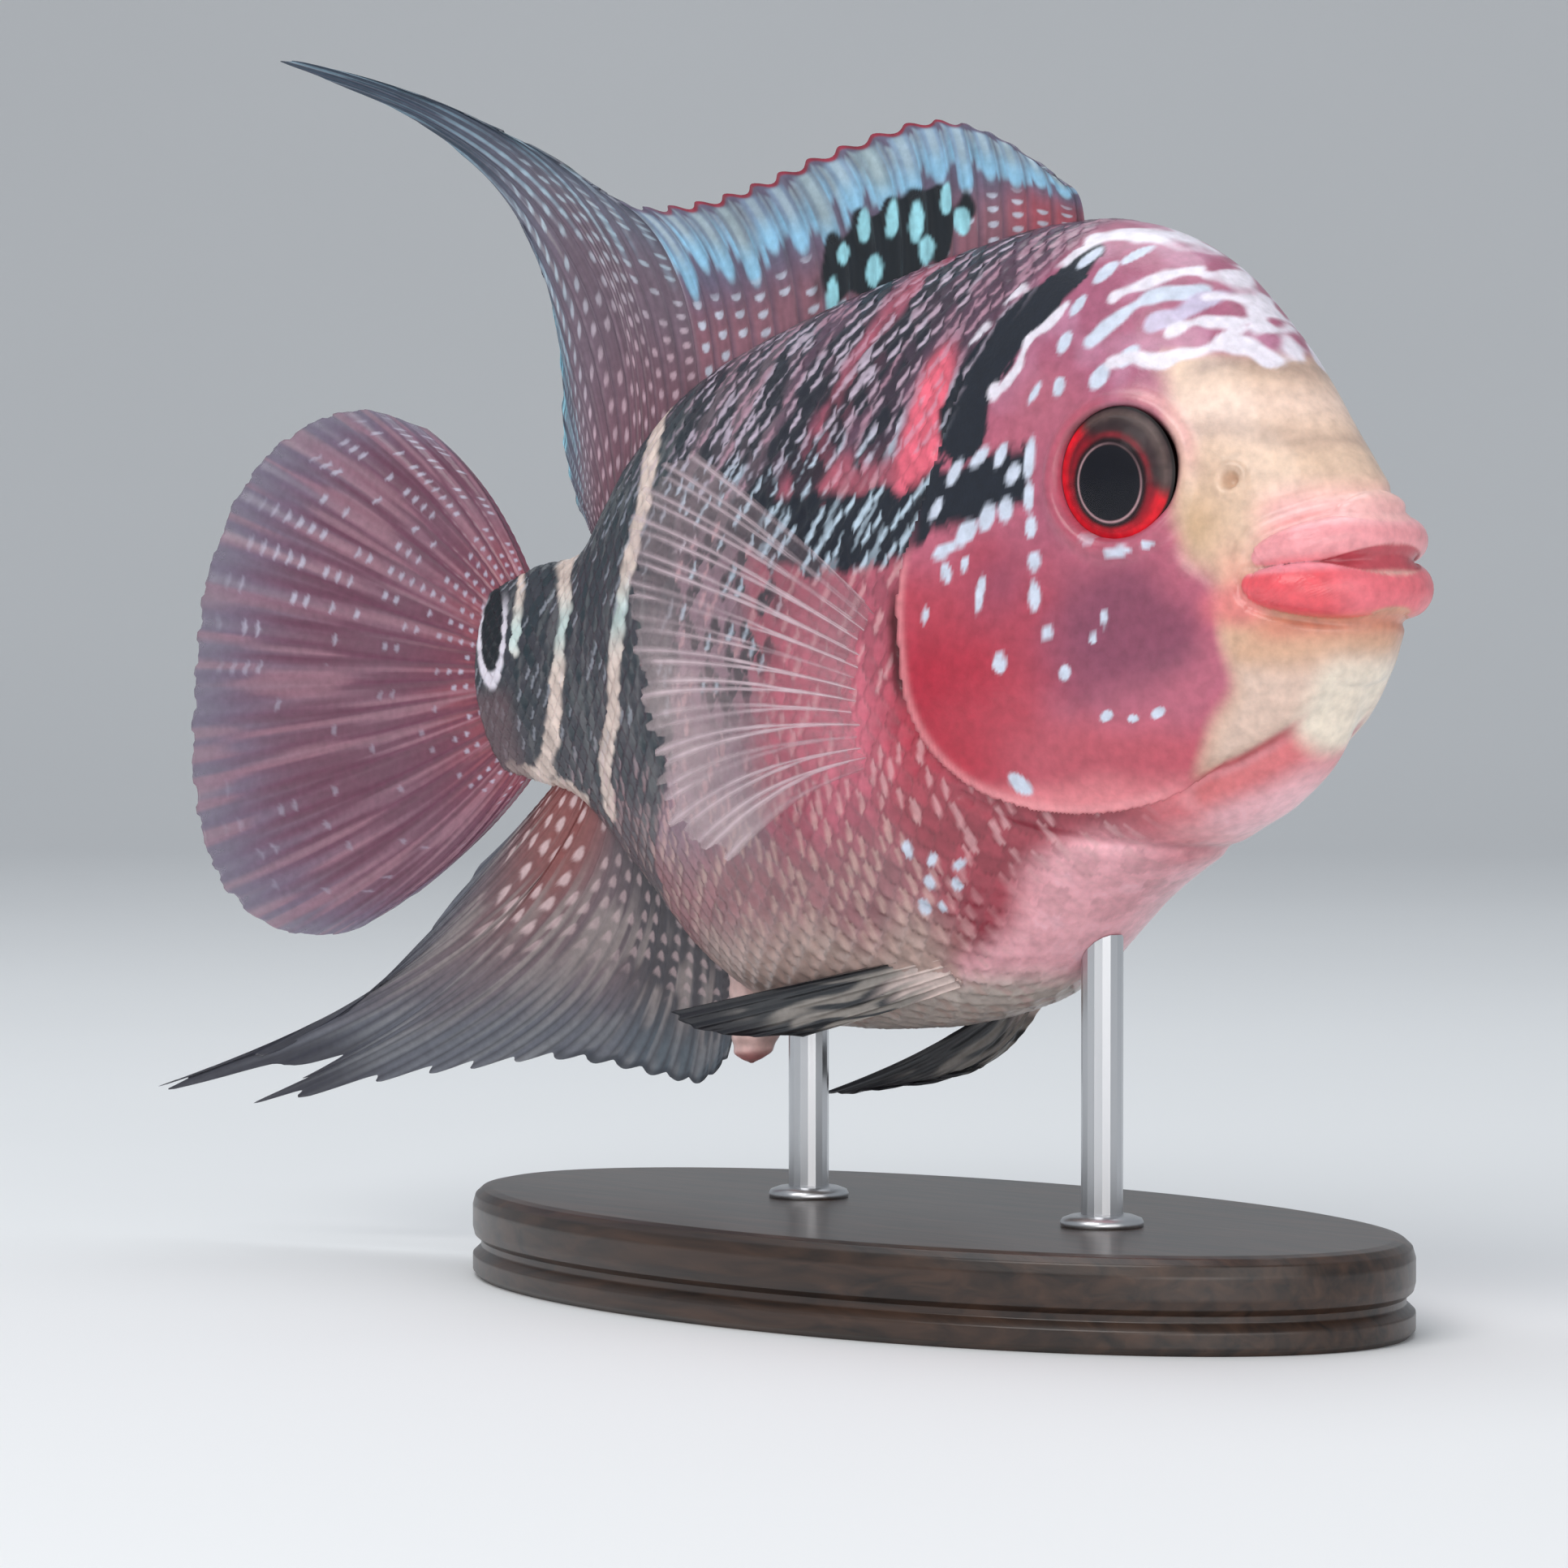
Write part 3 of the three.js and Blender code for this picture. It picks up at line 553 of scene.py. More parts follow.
def jaw_colour(colour, x, z, jaw, fleck):
    """The lower jaw: tan under the lip, then the red fold with the pale edge below it."""
    d = line_offset(x, z, JAW_BELOW)
    below = smooth(-0.4, 0.6, d) * smooth(100, 103, x)
    groove = smooth(1, 0.3, line_distance(x, z, JAW_GROOVE)) * smooth(101, 105, x)
    return paint(
        colour,
        ((212, 170, 142), jaw),
        ((208, 130, 108), jaw * bump(z, -4.6, 1.3) * smooth(111, 115, x) * 0.85),
        ((222, 196, 182), jaw * smooth(-6, -10, z + 2 * fleck) * 0.85),
        ((222, 112, 122), below),
        ((250, 190, 198), below * smooth(1.2, 3.6, np.abs(d) + 2.5 * fleck)),
        ((232, 218, 202), below * smooth(113, 115.5, x + 2 * fleck)),
        ((190, 78, 90), groove * 0.85),
    )


def throat_colour(colour, x, z, gill, membrane):
    """The gill membranes below the cover, with painted shade along their fold."""
    below = smooth(-0.1, 0.4, gill) * smooth(80, 84, x) * smooth(108, 103, x) * (z < -6)
    tone = mix(rgb(158, 62, 76), rgb(232, 134, 142), smooth(90, 102, x)[..., None])
    return paint(
        mix(colour, tone, below[..., None]),
        ((250, 196, 202), smooth(-20.2, -22.6, z) * smooth(95, 102, x) * 0.9),
        # Painted shade: darker along the fold of the gill membrane
        ((130, 50, 64), smooth(1, 0.1, membrane) * smooth(102, 92, x) * 0.7),
    )


REAR_BLACK = fine_line([
    (33, 32), (35, 26), (36.1, 19.4), (38.3, 12.7), (40.1, 7.7), (40.7, 2.8), (39.7, -2.7), (38.5, -8.2),
    (35, -14.4), (29.3, -18.5), (25, -30),
])


def flank_colour(x, z, p, cells):
    """The scaled body without black markings or pearls, and how far it is the dark rear part."""
    *_, edge, ids = cells
    lump = torn(p, 7, 21)
    grain = hash01(*ids, 5)
    pink = smooth(1.2, 0.5, np.hypot((x - 77 - 0.12 * (z - 20)) / 3.2, (z - 19.5) / 9) + 0.9 * lump)
    second = bump(x - 0.45 * (z - 22), 63.2, 2.6) * smooth(12, 16, z)
    veil = smooth(56, 50, x + 4 * lump)
    belly = smooth(-17, -25, z + 5 * lump) * smooth(77, 68, x)
    front = smooth(-1, 2.5, (x - 80) * 0.55 - (z + 27) * 0.85 + 4 * lump)
    colour = paint(
        plain((168, 86, 104), x),
        ((86, 62, 80), smooth(11, 18, z + 8 * lump)),
        ((232, 104, 126), pink),
        ((176, 84, 106), second * 0.9),
        ((222, 118, 138), bump(x, 64, 10) * bump(z, -9, 8) * 0.9),
        ((146, 116, 130), veil),
        ((88, 80, 88), veil * smooth(5, 13, z + 4 * lump) * 0.85),
        ((176, 56, 74), bump(x, 76.5, 5) * bump(z, -12, 11) * 0.95),
        ((160, 66, 80), smooth(66, 76, x + 5 * lump) * smooth(-13, -18, z)),
        ((158, 106, 112), belly),
        ((186, 160, 152), belly * smooth(-26, -32, z + 4 * lump)),
        ((250, 186, 196), front * smooth(-20, -24, z)),
        ((226, 212, 204), smooth(-33, -36, z + 2 * lump) * smooth(36, 44, x)),
    )
    colour = colour * (0.84 + 0.32 * grain)[..., None]
    rear = smooth(-0.8, 0.8, -line_offset(x, z, REAR_BLACK) + 2.2 * (grain - 0.5))
    drift = noise(np.stack([(x - 0.15 * z) / 0.7, z / 4, p[..., 1] / 4], -1), 1, 23)
    rear_tone = paint(
        plain((36, 50, 58), x),
        ((84, 76, 84), smooth(-11, -19, z)),
        ((104, 108, 110), smooth(0.55, 0.8, drift) * 0.55),
    )
    colour = over(colour, rear_tone, rear * (0.86 + 0.14 * grain))
    rim = smooth(0.2, 0, edge) * smooth(-36, -30, z) * (0.55 - 0.5 * front)
    return over(colour, colour * 0.55, rim), rear


# Black markings of the flank as lines in the side view
BLACK_BAR = fine_line([
    (92.6, 31.4), (90.4, 29.4), (87.6, 27.2), (85, 24.6), (83, 21.8), (81.8, 19), (82, 16.2),
])
BLACK_ROW = fine_line([
    (89.2, 12), (84.5, 11), (79.5, 10.6), (75.5, 8.9), (69, 8.8), (62.5, 8.9), (55.5, 10.4), (49.5, 12),
])
# Half widths of the two: z and width of the bar, x and width of the row
BAR_WIDTHS = ((16, 19, 24, 31), (2.9, 3.1, 2.9, 1.7))
ROW_WIDTHS = ((48, 54, 62, 70, 75, 79, 84, 89), (1.6, 3, 3.7, 3.6, 3.5, 2.8, 3.1, 2.3))
# Weaker bars, and the pale stripes of the rear: each line with its half width
DARK_BARS = [
    (fine_line([(73.6, 34), (70.1, 29), (68, 25.4), (65.6, 21.5), (62.9, 17.9), (60.2, 14.4)], 16), 2.3),
    (fine_line([(79.6, 35), (76.4, 30.6), (73.4, 26), (71.2, 21), (69.6, 16)], 16), 1.7),
    (fine_line([(61.5, 35), (60.7, 27.8), (58.2, 23.3), (56.2, 18.8), (53.8, 14.2)], 16), 2.5),
    (fine_line([(52.5, 33), (51.9, 26.4), (49.8, 21), (47.6, 16.5)], 16), 2.3),
    (fine_line([(44.5, 31), (44, 25), (42.6, 19), (41.6, 12)], 16), 2.4),
    (fine_line([(36.5, 28), (37, 22), (36.6, 15), (35.4, 6)], 16), 2),
]
STRIPES = [
    (fine_line([
        (27, 24), (29.6, 18.5), (30.4, 13.7), (28.4, 6.1), (27.9, 2.8), (26.2, -1.4), (25.2, -5.5),
        (20.9, -9.8), (18.2, -14.5),
    ]), 1.5),
    (fine_line([
        (9.6, 12.5), (12.2, 8.6), (13.6, 5.1), (12.3, -0.6), (10.3, -5.4), (6.3, -10.2),
    ], 24), 1.25),
    (fine_line([(3.2, 10.4), (4, 6.9), (4.1, 2.5)], 10), 0.62),
    (fine_line([(0.5, -9.2), (4.5, -10.8), (9, -12.2), (12, -13.6)], 12), 0.8),
]


def black_mask(x, z, p, cells):
    """How black the flank is: bars with torn edges that follow the scales."""
    *_, edge, ids = cells
    rough = 1.5 * (hash01(*ids, 7) - 0.5) + torn(p, 2.2, 31, 1.8)
    width = np.interp(z, *BAR_WIDTHS)
    bar = smooth(width + 0.3, width - 0.3, line_distance(x, z, BLACK_BAR) + 0.4 * rough)
    width = np.interp(x, *ROW_WIDTHS)
    row = smooth(width + 0.6, width - 0.5, line_distance(x, z, BLACK_ROW) + 0.8 * rough)
    dark = np.maximum(bar, row)
    strength = 0.95 - 0.35 * (hash01(*ids, 9) > 0.7)
    for line, half in DARK_BARS:
        d = line_distance(x, z, line)
        dark = np.maximum(dark, strength * smooth(half + 0.9, half - 0.5, d + rough))
    windows = (hash01(*ids, 17) < 0.42) * bump(x, 49, 8) * bump(z, 4, 11)
    return np.maximum(dark, smooth(0.1, 0.45, windows) * smooth(0.05, 0.2, edge))


def pearl_streaks(x, z, p, cells, rear):
    """The light streak of each scale, long and leaning forward on the back, a drop on the belly."""
    u, v, _, ids = cells
    chance, length, shift = (hash01(*ids, seed) for seed in (3, 4, 6))
    shift = shift - 0.5
    lean = 0.5 - 0.35 * smooth(0, -18, z)
    a = u + 0.8 + 0.45 * shift - lean * v + torn(p, 0.9, 35, 0.3)
    narrow = 0.15 + 0.16 * length
    tall = np.abs(v + 0.3 * shift) / (0.75 + 0.8 * length)
    streak = smooth(narrow + 0.13, narrow - 0.06, np.abs(a)) * smooth(1.2, 0.85, tall)
    row = bump(z, 9, 6) * smooth(52, 56, x)
    upper = smooth(12, 17, z)
    lower = smooth(-12, -18, z)
    share = 0.34 + 0.5 * row + 0.3 * upper + 0.3 * lower - 0.12 * rear
    free = np.stack([(x - 0.5 * z) / 0.62, z / 2.6, p[..., 1] / 2.6], -1)
    loose = smooth(0.66, 0.76, noise(free, 1, 37)) * np.maximum(upper * 0.8, row * 0.6) * (1 - rear)
    return np.maximum(streak * (chance < share), loose)


OCELLUS = {"x": -0.4, "z": 4.9, "half_length": 1.9, "half_height": 4.3, "rim": 0.75}


def ocellus(colour, x, z):
    """The black spot at the root of the tail fin with its white rim, open at the top."""
    dz = (z - OCELLUS["z"]) / OCELLUS["half_height"]
    r = np.hypot((x - OCELLUS["x"]) / OCELLUS["half_length"], dz)
    rim = OCELLUS["rim"] / OCELLUS["half_length"]
    colour = over(colour, WHITE, smooth(1.15 + rim, 1 + rim * 0.8, r) * smooth(1, 0.2, dz))
    return over(colour, BLACK, smooth(1.1, 0.95, r))


def body_colour(p, cells, scaled, gill, membrane, lip_parts):
    x, y, z = np.moveaxis(p, -1, 0)
    head = throat_colour(head_colour(x, z, p), x, z, gill, membrane)
    flank, rear = flank_colour(x, z, p, cells)
    near_row = smooth(74, 78, x) * smooth(2, 5, z) * smooth(90.8, 89.6, x)
    bar_side = smooth(16, 18, z) * smooth(78, 80, x)
    dark = black_mask(x, z, p, cells) * np.maximum(np.maximum(scaled, near_row), bar_side)
    colour = over(over(head, flank, scaled), INK, dark)
    colour = stripes(colour, x, z, p, cells)
    colour = over(colour, WHITE, bar_edges(x, z, p))
    streak = pearl_streaks(x, z, p, cells, rear) * scaled
    night = np.maximum(dark, 0.75 * rear) * smooth(-14, -6, z) * (1 - 0.55 * smooth(15, 20, z))
    tone = paint(
        plain((222, 172, 176), x),
        ((206, 174, 164), smooth(-14, -22, z) * smooth(78, 70, x)),
        ((206, 158, 178), smooth(10, 16, z)),
    )
    tone = over(tone, mix(PEARL, CYAN, 0.25), night)
    quiet = 1 - 0.7 * smooth(-22, -27, z) * smooth(72, 80, x)
    colour = over(colour, tone, streak * quiet * (0.6 + 0.32 * dark - 0.25 * rear))
    ragged = torn(p, 1.1, 43, 0.35)
    for px, pz, *pearl in PEARLS:
        near = (np.abs(x - px) < PEARL_REACH) & (np.abs(z - pz) < PEARL_REACH)
        mask = spot(x[near], z[near], (px, pz), *pearl, ragged[near])
        colour[near] = over(colour[near], PEARL, mask)
    colour = hump_lines(colour, x, z, p)
    # Dark red in the gap under the gill cover's rear edge: painted shade
    slit_shade = smooth(1.3, 0.2, np.abs(gill - 0.7)) * smooth(4, 0, z) * smooth(-10, -6, z)
    colour = paint(
        colour,
        ((84, 14, 28), slit_shade),
        # Pale pink along the cover's lower rear edge: its pale membrane fringe, with a painted highlight on
        # the bulging edge
        ((238, 160, 166), bump(gill, -0.5, 0.45) * smooth(7, 3, z) * smooth(104, 98, x) * 0.55),
    )
    colour = eye_skin(colour, x, z)
    keel = smooth(6, 3.6, np.abs(y)) * smooth(104, 108, x)
    d = line_offset(x, z, JAW_BELOW)
    below = smooth(-0.3, 0.6, d) * smooth(100, 103, x)
    corner = smooth(1.2, 0.3, np.hypot((x - 111.5) / 4.2, (z + 2.2) / 2.6))
    colour = paint(
        colour,
        ((252, 196, 204), below * smooth(-13.5, -16.5, z)),
        ((212, 104, 108), below * smooth(2.8, 1, np.abs(d)) * smooth(117.8, 116.6, x) * 0.9),
        ((240, 226, 208), keel * smooth(111.5, 114, x) * smooth(-6.5, -9.5, z)),
        ((228, 118, 122), corner * 0.75),
    )
    colour = lip_colour(colour, x, z, lip_parts)
    colour = over(colour, rgb(104, 82, 88), smooth(5, 1, x) * smooth(0, -3, z) * 0.75)
    return ocellus(colour, x, z)


def stripes(colour, x, z, p, cells):
    """Pale torn stripes across the dark rear."""
    tone = over(plain((228, 208, 198), x), rgb(206, 232, 230), bump(z, 4, 2.6) * 0.85)
    tone = tone * (0.7 + 0.5 * noise(p, 1.3, 34))[..., None]
    rough = torn(p, 1.5, 33, 0.9) + 0.5 * (hash01(*cells[3], 8) - 0.5)
    for line, half in STRIPES:
        colour = over(colour, tone, smooth(half + 0.35, half - 0.3, line_distance(x, z, line) + rough))
    return colour


BAR_WHITE = fine_line([(92.4, 27.4), (91, 25.9), (89.3, 24.9), (88.4, 23.5), (87.9, 21.6), (85.8, 20)], 20)
BAR_BACK = fine_line([(92.6, 33.4), (88.4, 30.4), (85.3, 29), (82.6, 26.4), (80.6, 24.2)], 20)


def bar_edges(x, z, p):
    """White edges of the black bar behind the hump, torn at the back."""
    wave = torn(p, 1.3, 41, 0.7)
    front = smooth(0.62, 0.3, line_distance(x, z, BAR_WHITE) + wave)
    back = smooth(0.5, 0.25, line_distance(x, z, BAR_BACK) + wave) * smooth(0.3, 0.5, noise(p, 2, 42))
    blob = smooth(1.2, 0.8, np.hypot(x - 85.4, z - 20) + wave)
    return np.maximum(np.maximum(front, blob), back * 0.9)


def hump_lines(colour, x, z, p):
    wave = torn(p, 1.7, 51, 0.9)
    for line, half, tone in HUMP_LINES:
        colour = over(colour, tone, smooth(half + 0.3, half - 0.2, line_distance(x, z, line) + wave))
    return colour


def eye_skin(colour, x, z):
    """Skin of the socket's rim: flushed behind the eye, painted shade above it and deep inside the socket,
    pale in front.
    """
    r = np.hypot(x - EYE["x"], z - EYE["z"]) / EYE["radius"]
    turn = np.arctan2(z - EYE["z"], x - EYE["x"])
    pale = bump(r, 1.25, 0.13) * smooth(-0.2, 0.6, np.cos(turn)) * smooth(-0.4, 0.4, np.sin(turn))
    return paint(
        colour,
        ((186, 84, 104), smooth(1.4, 1.1, r) * smooth(0.2, -0.6, np.cos(turn)) * 0.7),
        ((236, 178, 176), pale * 0.7),
        # Painted shade on the rim above the eye
        ((74, 54, 56), smooth(1.14, 1.02, r) * smooth(-0.2, 0.5, np.sin(turn + 0.4)) * 0.8),
        # Painted shade deep inside the socket
        ((40, 10, 14), smooth(1, 0.9, r)),
    )


def lip_colour(colour, x, z, lip_parts):
    rise, seam, upper = lip_parts
    lip = smooth(0.02, 0.2, rise)
    # Painted shade between the lips: the mouth's crease in front, off the lips
    between = smooth(-0.5, 0.2, z) * smooth(2.8, 2, z) * smooth(114, 115.5, x) * (1 - lip)
    top = lip * upper
    low = lip * (1 - upper)
    return paint(
        colour,
        ((240, 160, 166), top),
        # Paler top of the upper lip: painted highlight
        ((244, 180, 184), top * smooth(3.4, 4.8, z)),
        ((232, 90, 100), low),
        # Paler top edge of the lower lip: painted highlight
        ((248, 178, 192), low * smooth(-0.2, 0.9, z) * 0.9),
        ((242, 150, 164), low * smooth(118.5, 121.5, x) * 0.35),
        ((216, 118, 96), low * smooth(-3, -4.4, z) * 0.8),
        # Painted shade in the mouth's crease between the lips and along the seam where they meet
        ((190, 78, 90), between),
        ((150, 40, 58), seam * 0.75),
    )


def skin_relief(p, cells, scaled, gill, membrane, lip_parts, lip_data):
    """Heights over the bare body: scales, gill cover, folds, sockets, nostrils and lips."""
    *_, edge, ids = cells
    x = p[..., 0]
    z = p[..., 2]
    tilt = hash01(*ids, 15) * 0.06
    breast = 1 - 0.88 * smooth(74, 82, x) * smooth(-15, -21, z)
    height = scaled * breast * (0.2 + tilt) * (1 - smooth(0, 0.75, edge)) * smooth(-3, 3, x + 3)
    cover = 0.6 * np.exp(-np.maximum(-gill, 0) / 2.6) * (gill <= 0)
    slot = -0.6 * np.exp(-np.maximum(gill, 0) / 0.9) * (gill > 0)
    height = height + (cover + slot) * smooth(26, 18, z) * smooth(108, 101, x)
    height = height - 0.4 * bump(membrane, 0, 0.6)
    for line, depth, width in ((JAW_GROOVE, 0.75, 0.9), (CHEEK_EDGE, 0.28, 1.1)):
        fold = depth * bump(line_distance(x, z, line), 0, width)
        height = height - fold * smooth(99, 104, x) * smooth(18, 12, z)
    r = np.hypot(x - EYE["x"], z - EYE["z"])
    height = height - 3.4 * smooth(EYE["radius"] + 0.35, EYE["radius"] - 1, r)
    height = height + 0.75 * bump(r, EYE["radius"] + 0.95, 0.9)
    hole = np.hypot(x - NOSTRIL["x"], z - NOSTRIL["z"])
    height = height - 1.2 * smooth(NOSTRIL["radius"] + 0.25, 0.2, hole)
    height = height + 0.22 * bump(hole, NOSTRIL["radius"] + 0.6, 0.4)
    rise, seam, _ = lip_parts
    above, below = (away - radius for _, away, radius in lip_data)
    folds = 0.3 * bump(above, 0.5, 0.35) + 0.3 * bump(above, 2.2, 0.6) + 0.35 * bump(below, 0.5, 0.4)
    folds = folds * (rise <= 0) * smooth(108.5, 112, x)
    softness = torn(p, 9, 61, 0.25) + torn(p, 1.6, 62, 0.06)
    return height + softness - folds + rise - 0.35 * seam


def build_skin():
    p = body_grid()
    x = p[..., 0]
    z = p[..., 2]
    normal = grid_normals(p)
    lip_data = lip_fields(p)
    to_upper, to_lower = (away / radius for _, away, radius in lip_data)
    lip_parts = (*lip_rise(p, normal, lip_data), (to_upper < to_lower).astype(float))
    s, w = surface_lengths(p)
    pitch = np.interp(s, *SCALE_PITCHES)
    even = np.cumsum(np.gradient(s, axis=0) / pitch, 0)
    cells = scale_cells(even * SCALE["pitch"], w / pitch * SCALE["pitch"])
    gill = np.where(z > GILL_TOP, FAR, -line_offset(x, z, GILL_EDGE))
    membrane = line_distance(x, z, GILL_MEMBRANE)
    scaled = scaled_part(x, z, gill)
    colour = body_colour(p, cells, scaled, gill, membrane, lip_parts)
    height = skin_relief(p, cells, scaled, gill, membrane, lip_parts, lip_data)
    shaped = p + normal * height[..., None]
    shaped[-1] = shaped[-2].mean(0)
    rows, columns = shaped.shape[:2]
    skin = mesh_object("skin", to_row(shaped), grid_faces(rows, columns, True), colour)
    close_rings(skin, (0, columns))
    skin.data.materials.append(skin_material())
    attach(skin, "root")
    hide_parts("head", "torso", "tail")


# Materials


def set_inputs(tree, node, values):
    """Sets each input to its value, or links it to the socket given for it."""
    for name, value in values.items():
        if isinstance(value, bpy.types.NodeSocket):
            tree.links.new(value, node.inputs[name])
        else:
            node.inputs[name].default_value = value
    return node


def add_node(tree, kind, values):
    return set_inputs(tree, tree.nodes.new("ShaderNode" + kind), values)


def new_material(name):
    material = bpy.data.materials.new(name)
    material.use_nodes = True
    return material, material.node_tree


def shade(tree, values):
    set_inputs(tree, tree.nodes["Principled BSDF"], values)


def grain(tree, scale, detail=4, distortion=0, stretch=None):
    """Noise over the object, closer along an axis by stretch."""
    at = tree.nodes.new("ShaderNodeTexCoord").outputs["Object"]
    if stretch:
        at = add_node(tree, "Mapping", {"Vector": at, "Scale": stretch}).outputs["Vector"]
    values = {"Vector": at, "Scale": scale, "Detail": detail, "Distortion": distortion}
    return add_node(tree, "TexNoise", values).outputs["Fac"]


def mottled(tree, colour, scale, low, high):
    """The colour, made a little lighter and darker by noise."""
    share = {"Value": grain(tree, scale), "From Min": 0.3, "From Max": 0.7, "To Min": low, "To Max": high}
    spread = add_node(tree, "MapRange", share)
    times = tree.nodes.new("ShaderNodeVectorMath")
    times.operation = "SCALE"
    set_inputs(tree, times, {0: colour, "Scale": spread.outputs["Result"]})
    return times.outputs["Vector"]


def attribute(tree, name, output):
    node = tree.nodes.new("ShaderNodeAttribute")
    node.attribute_name = name
    return node.outputs[output]


def bumped(tree, height, strength, distance):
    values = {"Height": height, "Strength": strength, "Distance": distance}
    return add_node(tree, "Bump", values).outputs["Normal"]


def skin_material():
    material, tree = new_material("fish_skin")
    shade(tree, {
        "Base Color": mottled(tree, attribute(tree, "skin_colour", "Color"), 900, 0.86, 1.12),
        "Normal": bumped(tree, grain(tree, 2600, 3), 0.25, 0.00012),
        "Roughness": 0.34,
        "Specular IOR Level": 0.5,
        "Coat Weight": 0.22,
        "Coat Roughness": 0.14,
        "Subsurface Weight": 0.06,
        "Subsurface Radius": (0.004, 0.0016, 0.001),
        "Subsurface Scale": 0.4,
    })
    return material


def fin_material():
    material, tree = new_material("fish_fin")
    shade(tree, {
        "Base Color": mottled(tree, attribute(tree, "skin_colour", "Color"), 1200, 0.88, 1.1),
        "Alpha": attribute(tree, "fin_alpha", "Fac"),
        "Normal": bumped(tree, grain(tree, 1800, 3), 0.2, 0.0001),
        "Roughness": 0.36,
        "Coat Weight": 0.2,
        "Coat Roughness": 0.2,
    })
    return material


# Fins: guide knots as root, middle and tip of a ray, in x, z

DORSAL = [
    [[85, 33.4], [85, 38.2], [83.4, 40.4]],
    [[76, 33.2], [76.5, 41.8], [75, 46.2]],
    [[67, 32.6], [67.3, 43], [65, 49.3]],
    [[57, 30.6], [57, 41.2], [53, 48.4]],
    [[47, 28.2], [46, 39.4], [41, 46.7]],
    [[38, 25.8], [36, 38], [29.5, 46]],
    [[30.5, 23], [28, 38.5], [19.5, 47.6]],
    [[25, 19.8], [20.5, 41.5], [6, 55.6]],
    [[21, 17], [15.6, 44.8], [-11.5, 63.9]],
    [[18.3, 14.5], [12, 46], [-26, 68.5]],
    [[16.8, 12.8], [11, 41], [-7.5, 59.2]],
    [[15.9, 11.4], [11.2, 31.5], [5.8, 46.8]],
    [[15.2, 10.6], [11.7, 23], [9.4, 33]],
    [[14.8, 10.2], [11.9, 17.6], [9.8, 23.5]],
    [[14.5, 9.8], [12.6, 14.4], [11, 16.4]],
]
ANAL = [
    [[31.5, -29.4], [30.2, -36.4], [28.2, -41]],
    [[28, -27], [26.2, -36.4], [23.5, -43.4]],
    [[24.5, -24], [22, -35], [18, -42.6]],
    [[21.5, -21.2], [18, -33.2], [11, -41.2]],
    [[19, -18.8], [14.5, -31.6], [2, -40.2]],
    [[16.5, -16.3], [10.5, -30.2], [-9, -40.8]],
    [[14.5, -14.2], [5.5, -29], [-20, -41.6]],
    [[13, -12.4], [-1, -29.2], [-35.7, -43.3]],
    [[12, -11], [-4.5, -27.8], [-27.5, -39.3]],
    [[11.2, -10], [-7, -27], [-49.5, -41.4]],
    [[10.4, -9.4], [-5, -22.8], [-30, -36.9]],
    [[9.7, -9.1], [-1.6, -18.2], [-16.6, -29.3]],
    [[9, -8.8], [2.2, -14.3], [-5.5, -19.3]],
]
CAUDAL = [
    [[4.2, 8.4], [-1.4, 19], [-9.5, 27.2]],
    [[2.6, 7], [-7, 20], [-18, 30]],
    [[1.4, 5.4], [-11.5, 17], [-27.5, 28]],
    [[0.8, 3.8], [-15.5, 12.5], [-34, 22.3]],
    [[0.4, 2], [-18.5, 7], [-38.4, 12.5]],
    [[0.2, 0], [-20, 0.8], [-40.6, 1.8]],
    [[0.4, -2.2], [-20, -5.6], [-41.3, -8.5]],
    [[0.8, -4.4], [-18, -11.4], [-39.2, -17.8]],
    [[1.4, -6.2], [-14.5, -16.2], [-33, -24.2]],
    [[2.4, -7.8], [-9.5, -17.8], [-24, -25.6]],
    [[3.6, -9.2], [-4, -15.6], [-13.8, -21.9]],
]
# Paired fins as x, distance from the mid-plane, z
PECTORAL_FLANK = 16.2
PECTORAL = [
    [[76, -1.3, -5], [64.5, 3.4, 8], [53, 7.6, 18.6]],
    [[76.2, -1.3, -6.4], [60.5, 3.9, 5.6], [46.6, 8, 13.6]],
    [[76.2, -1.3, -7.8], [58.5, 4.2, 1], [44, 8.2, 6.6]],
    [[76.2, -1.4, -9.2], [58.5, 4.2, -3.6], [44.8, 8.2, -1.4]],
    [[76, -1.5, -10.6], [59.5, 3.9, -8.2], [46.6, 8, -9.4]],
    [[75.8, -1.6, -12.2], [60.5, 3.4, -12.6], [47.4, 7.4, -17.6]],
    [[75.4, -1.7, -13.8], [64, 2.4, -15.6], [54, 5.4, -22.4]],
]
PELVIC_RIGHT = [
    [[70.5, 9.8, -31.8], [52, 11.6, -34], [33, 11.6, -36]],
    [[70.8, 9.4, -32.8], [52.5, 11.2, -35.6], [36.5, 11.4, -37.6]],
    [[71, 8.8, -34], [55.5, 10.6, -37.2], [43.5, 11.2, -38.8]],
    [[71.2, 8, -35], [59, 9.8, -37.8], [51, 10.8, -39]],
]
PELVIC_LEFT = [
    [[69.5, 5, -33.4], [52, 9.5, -39.6], [30.5, 10.5, -45.2]],
    [[70.2, 4.4, -34.4], [53.5, 9, -41.4], [37, 10, -45.4]],
    [[70.8, 3.8, -35.2], [56.5, 8.2, -42.6], [44.5, 9.4, -44.6]],
    [[71.2, 3.2, -35.8], [61.5, 6.8, -41.6], [53, 8.4, -43.4]],
]
SPINY_END = 6 / 14
PER_RAY = 12
SWAY = 0.35
MEMBRANE_HALF = 0.16
# A fin's share of its knots, points from root to margin, depth of the notches between the rays and of the
# torn margin as shares of the length, half thickness at a ray's root, and whether its rays are spines
FIN = {"first": 0, "last": 1, "rows": 70, "notch": 0.012, "fray": 0.006, "root_half": 0.42, "spiny": False}


def median(knots):
    k = np.array(knots, float)
    return np.stack([k[..., 0], np.zeros(k.shape[:2]), k[..., 1]], -1)


def beside(knots, side, offset=0):
    k = np.array(knots, float)
    k[..., 1] = side * (k[..., 1] + offset)
    return k


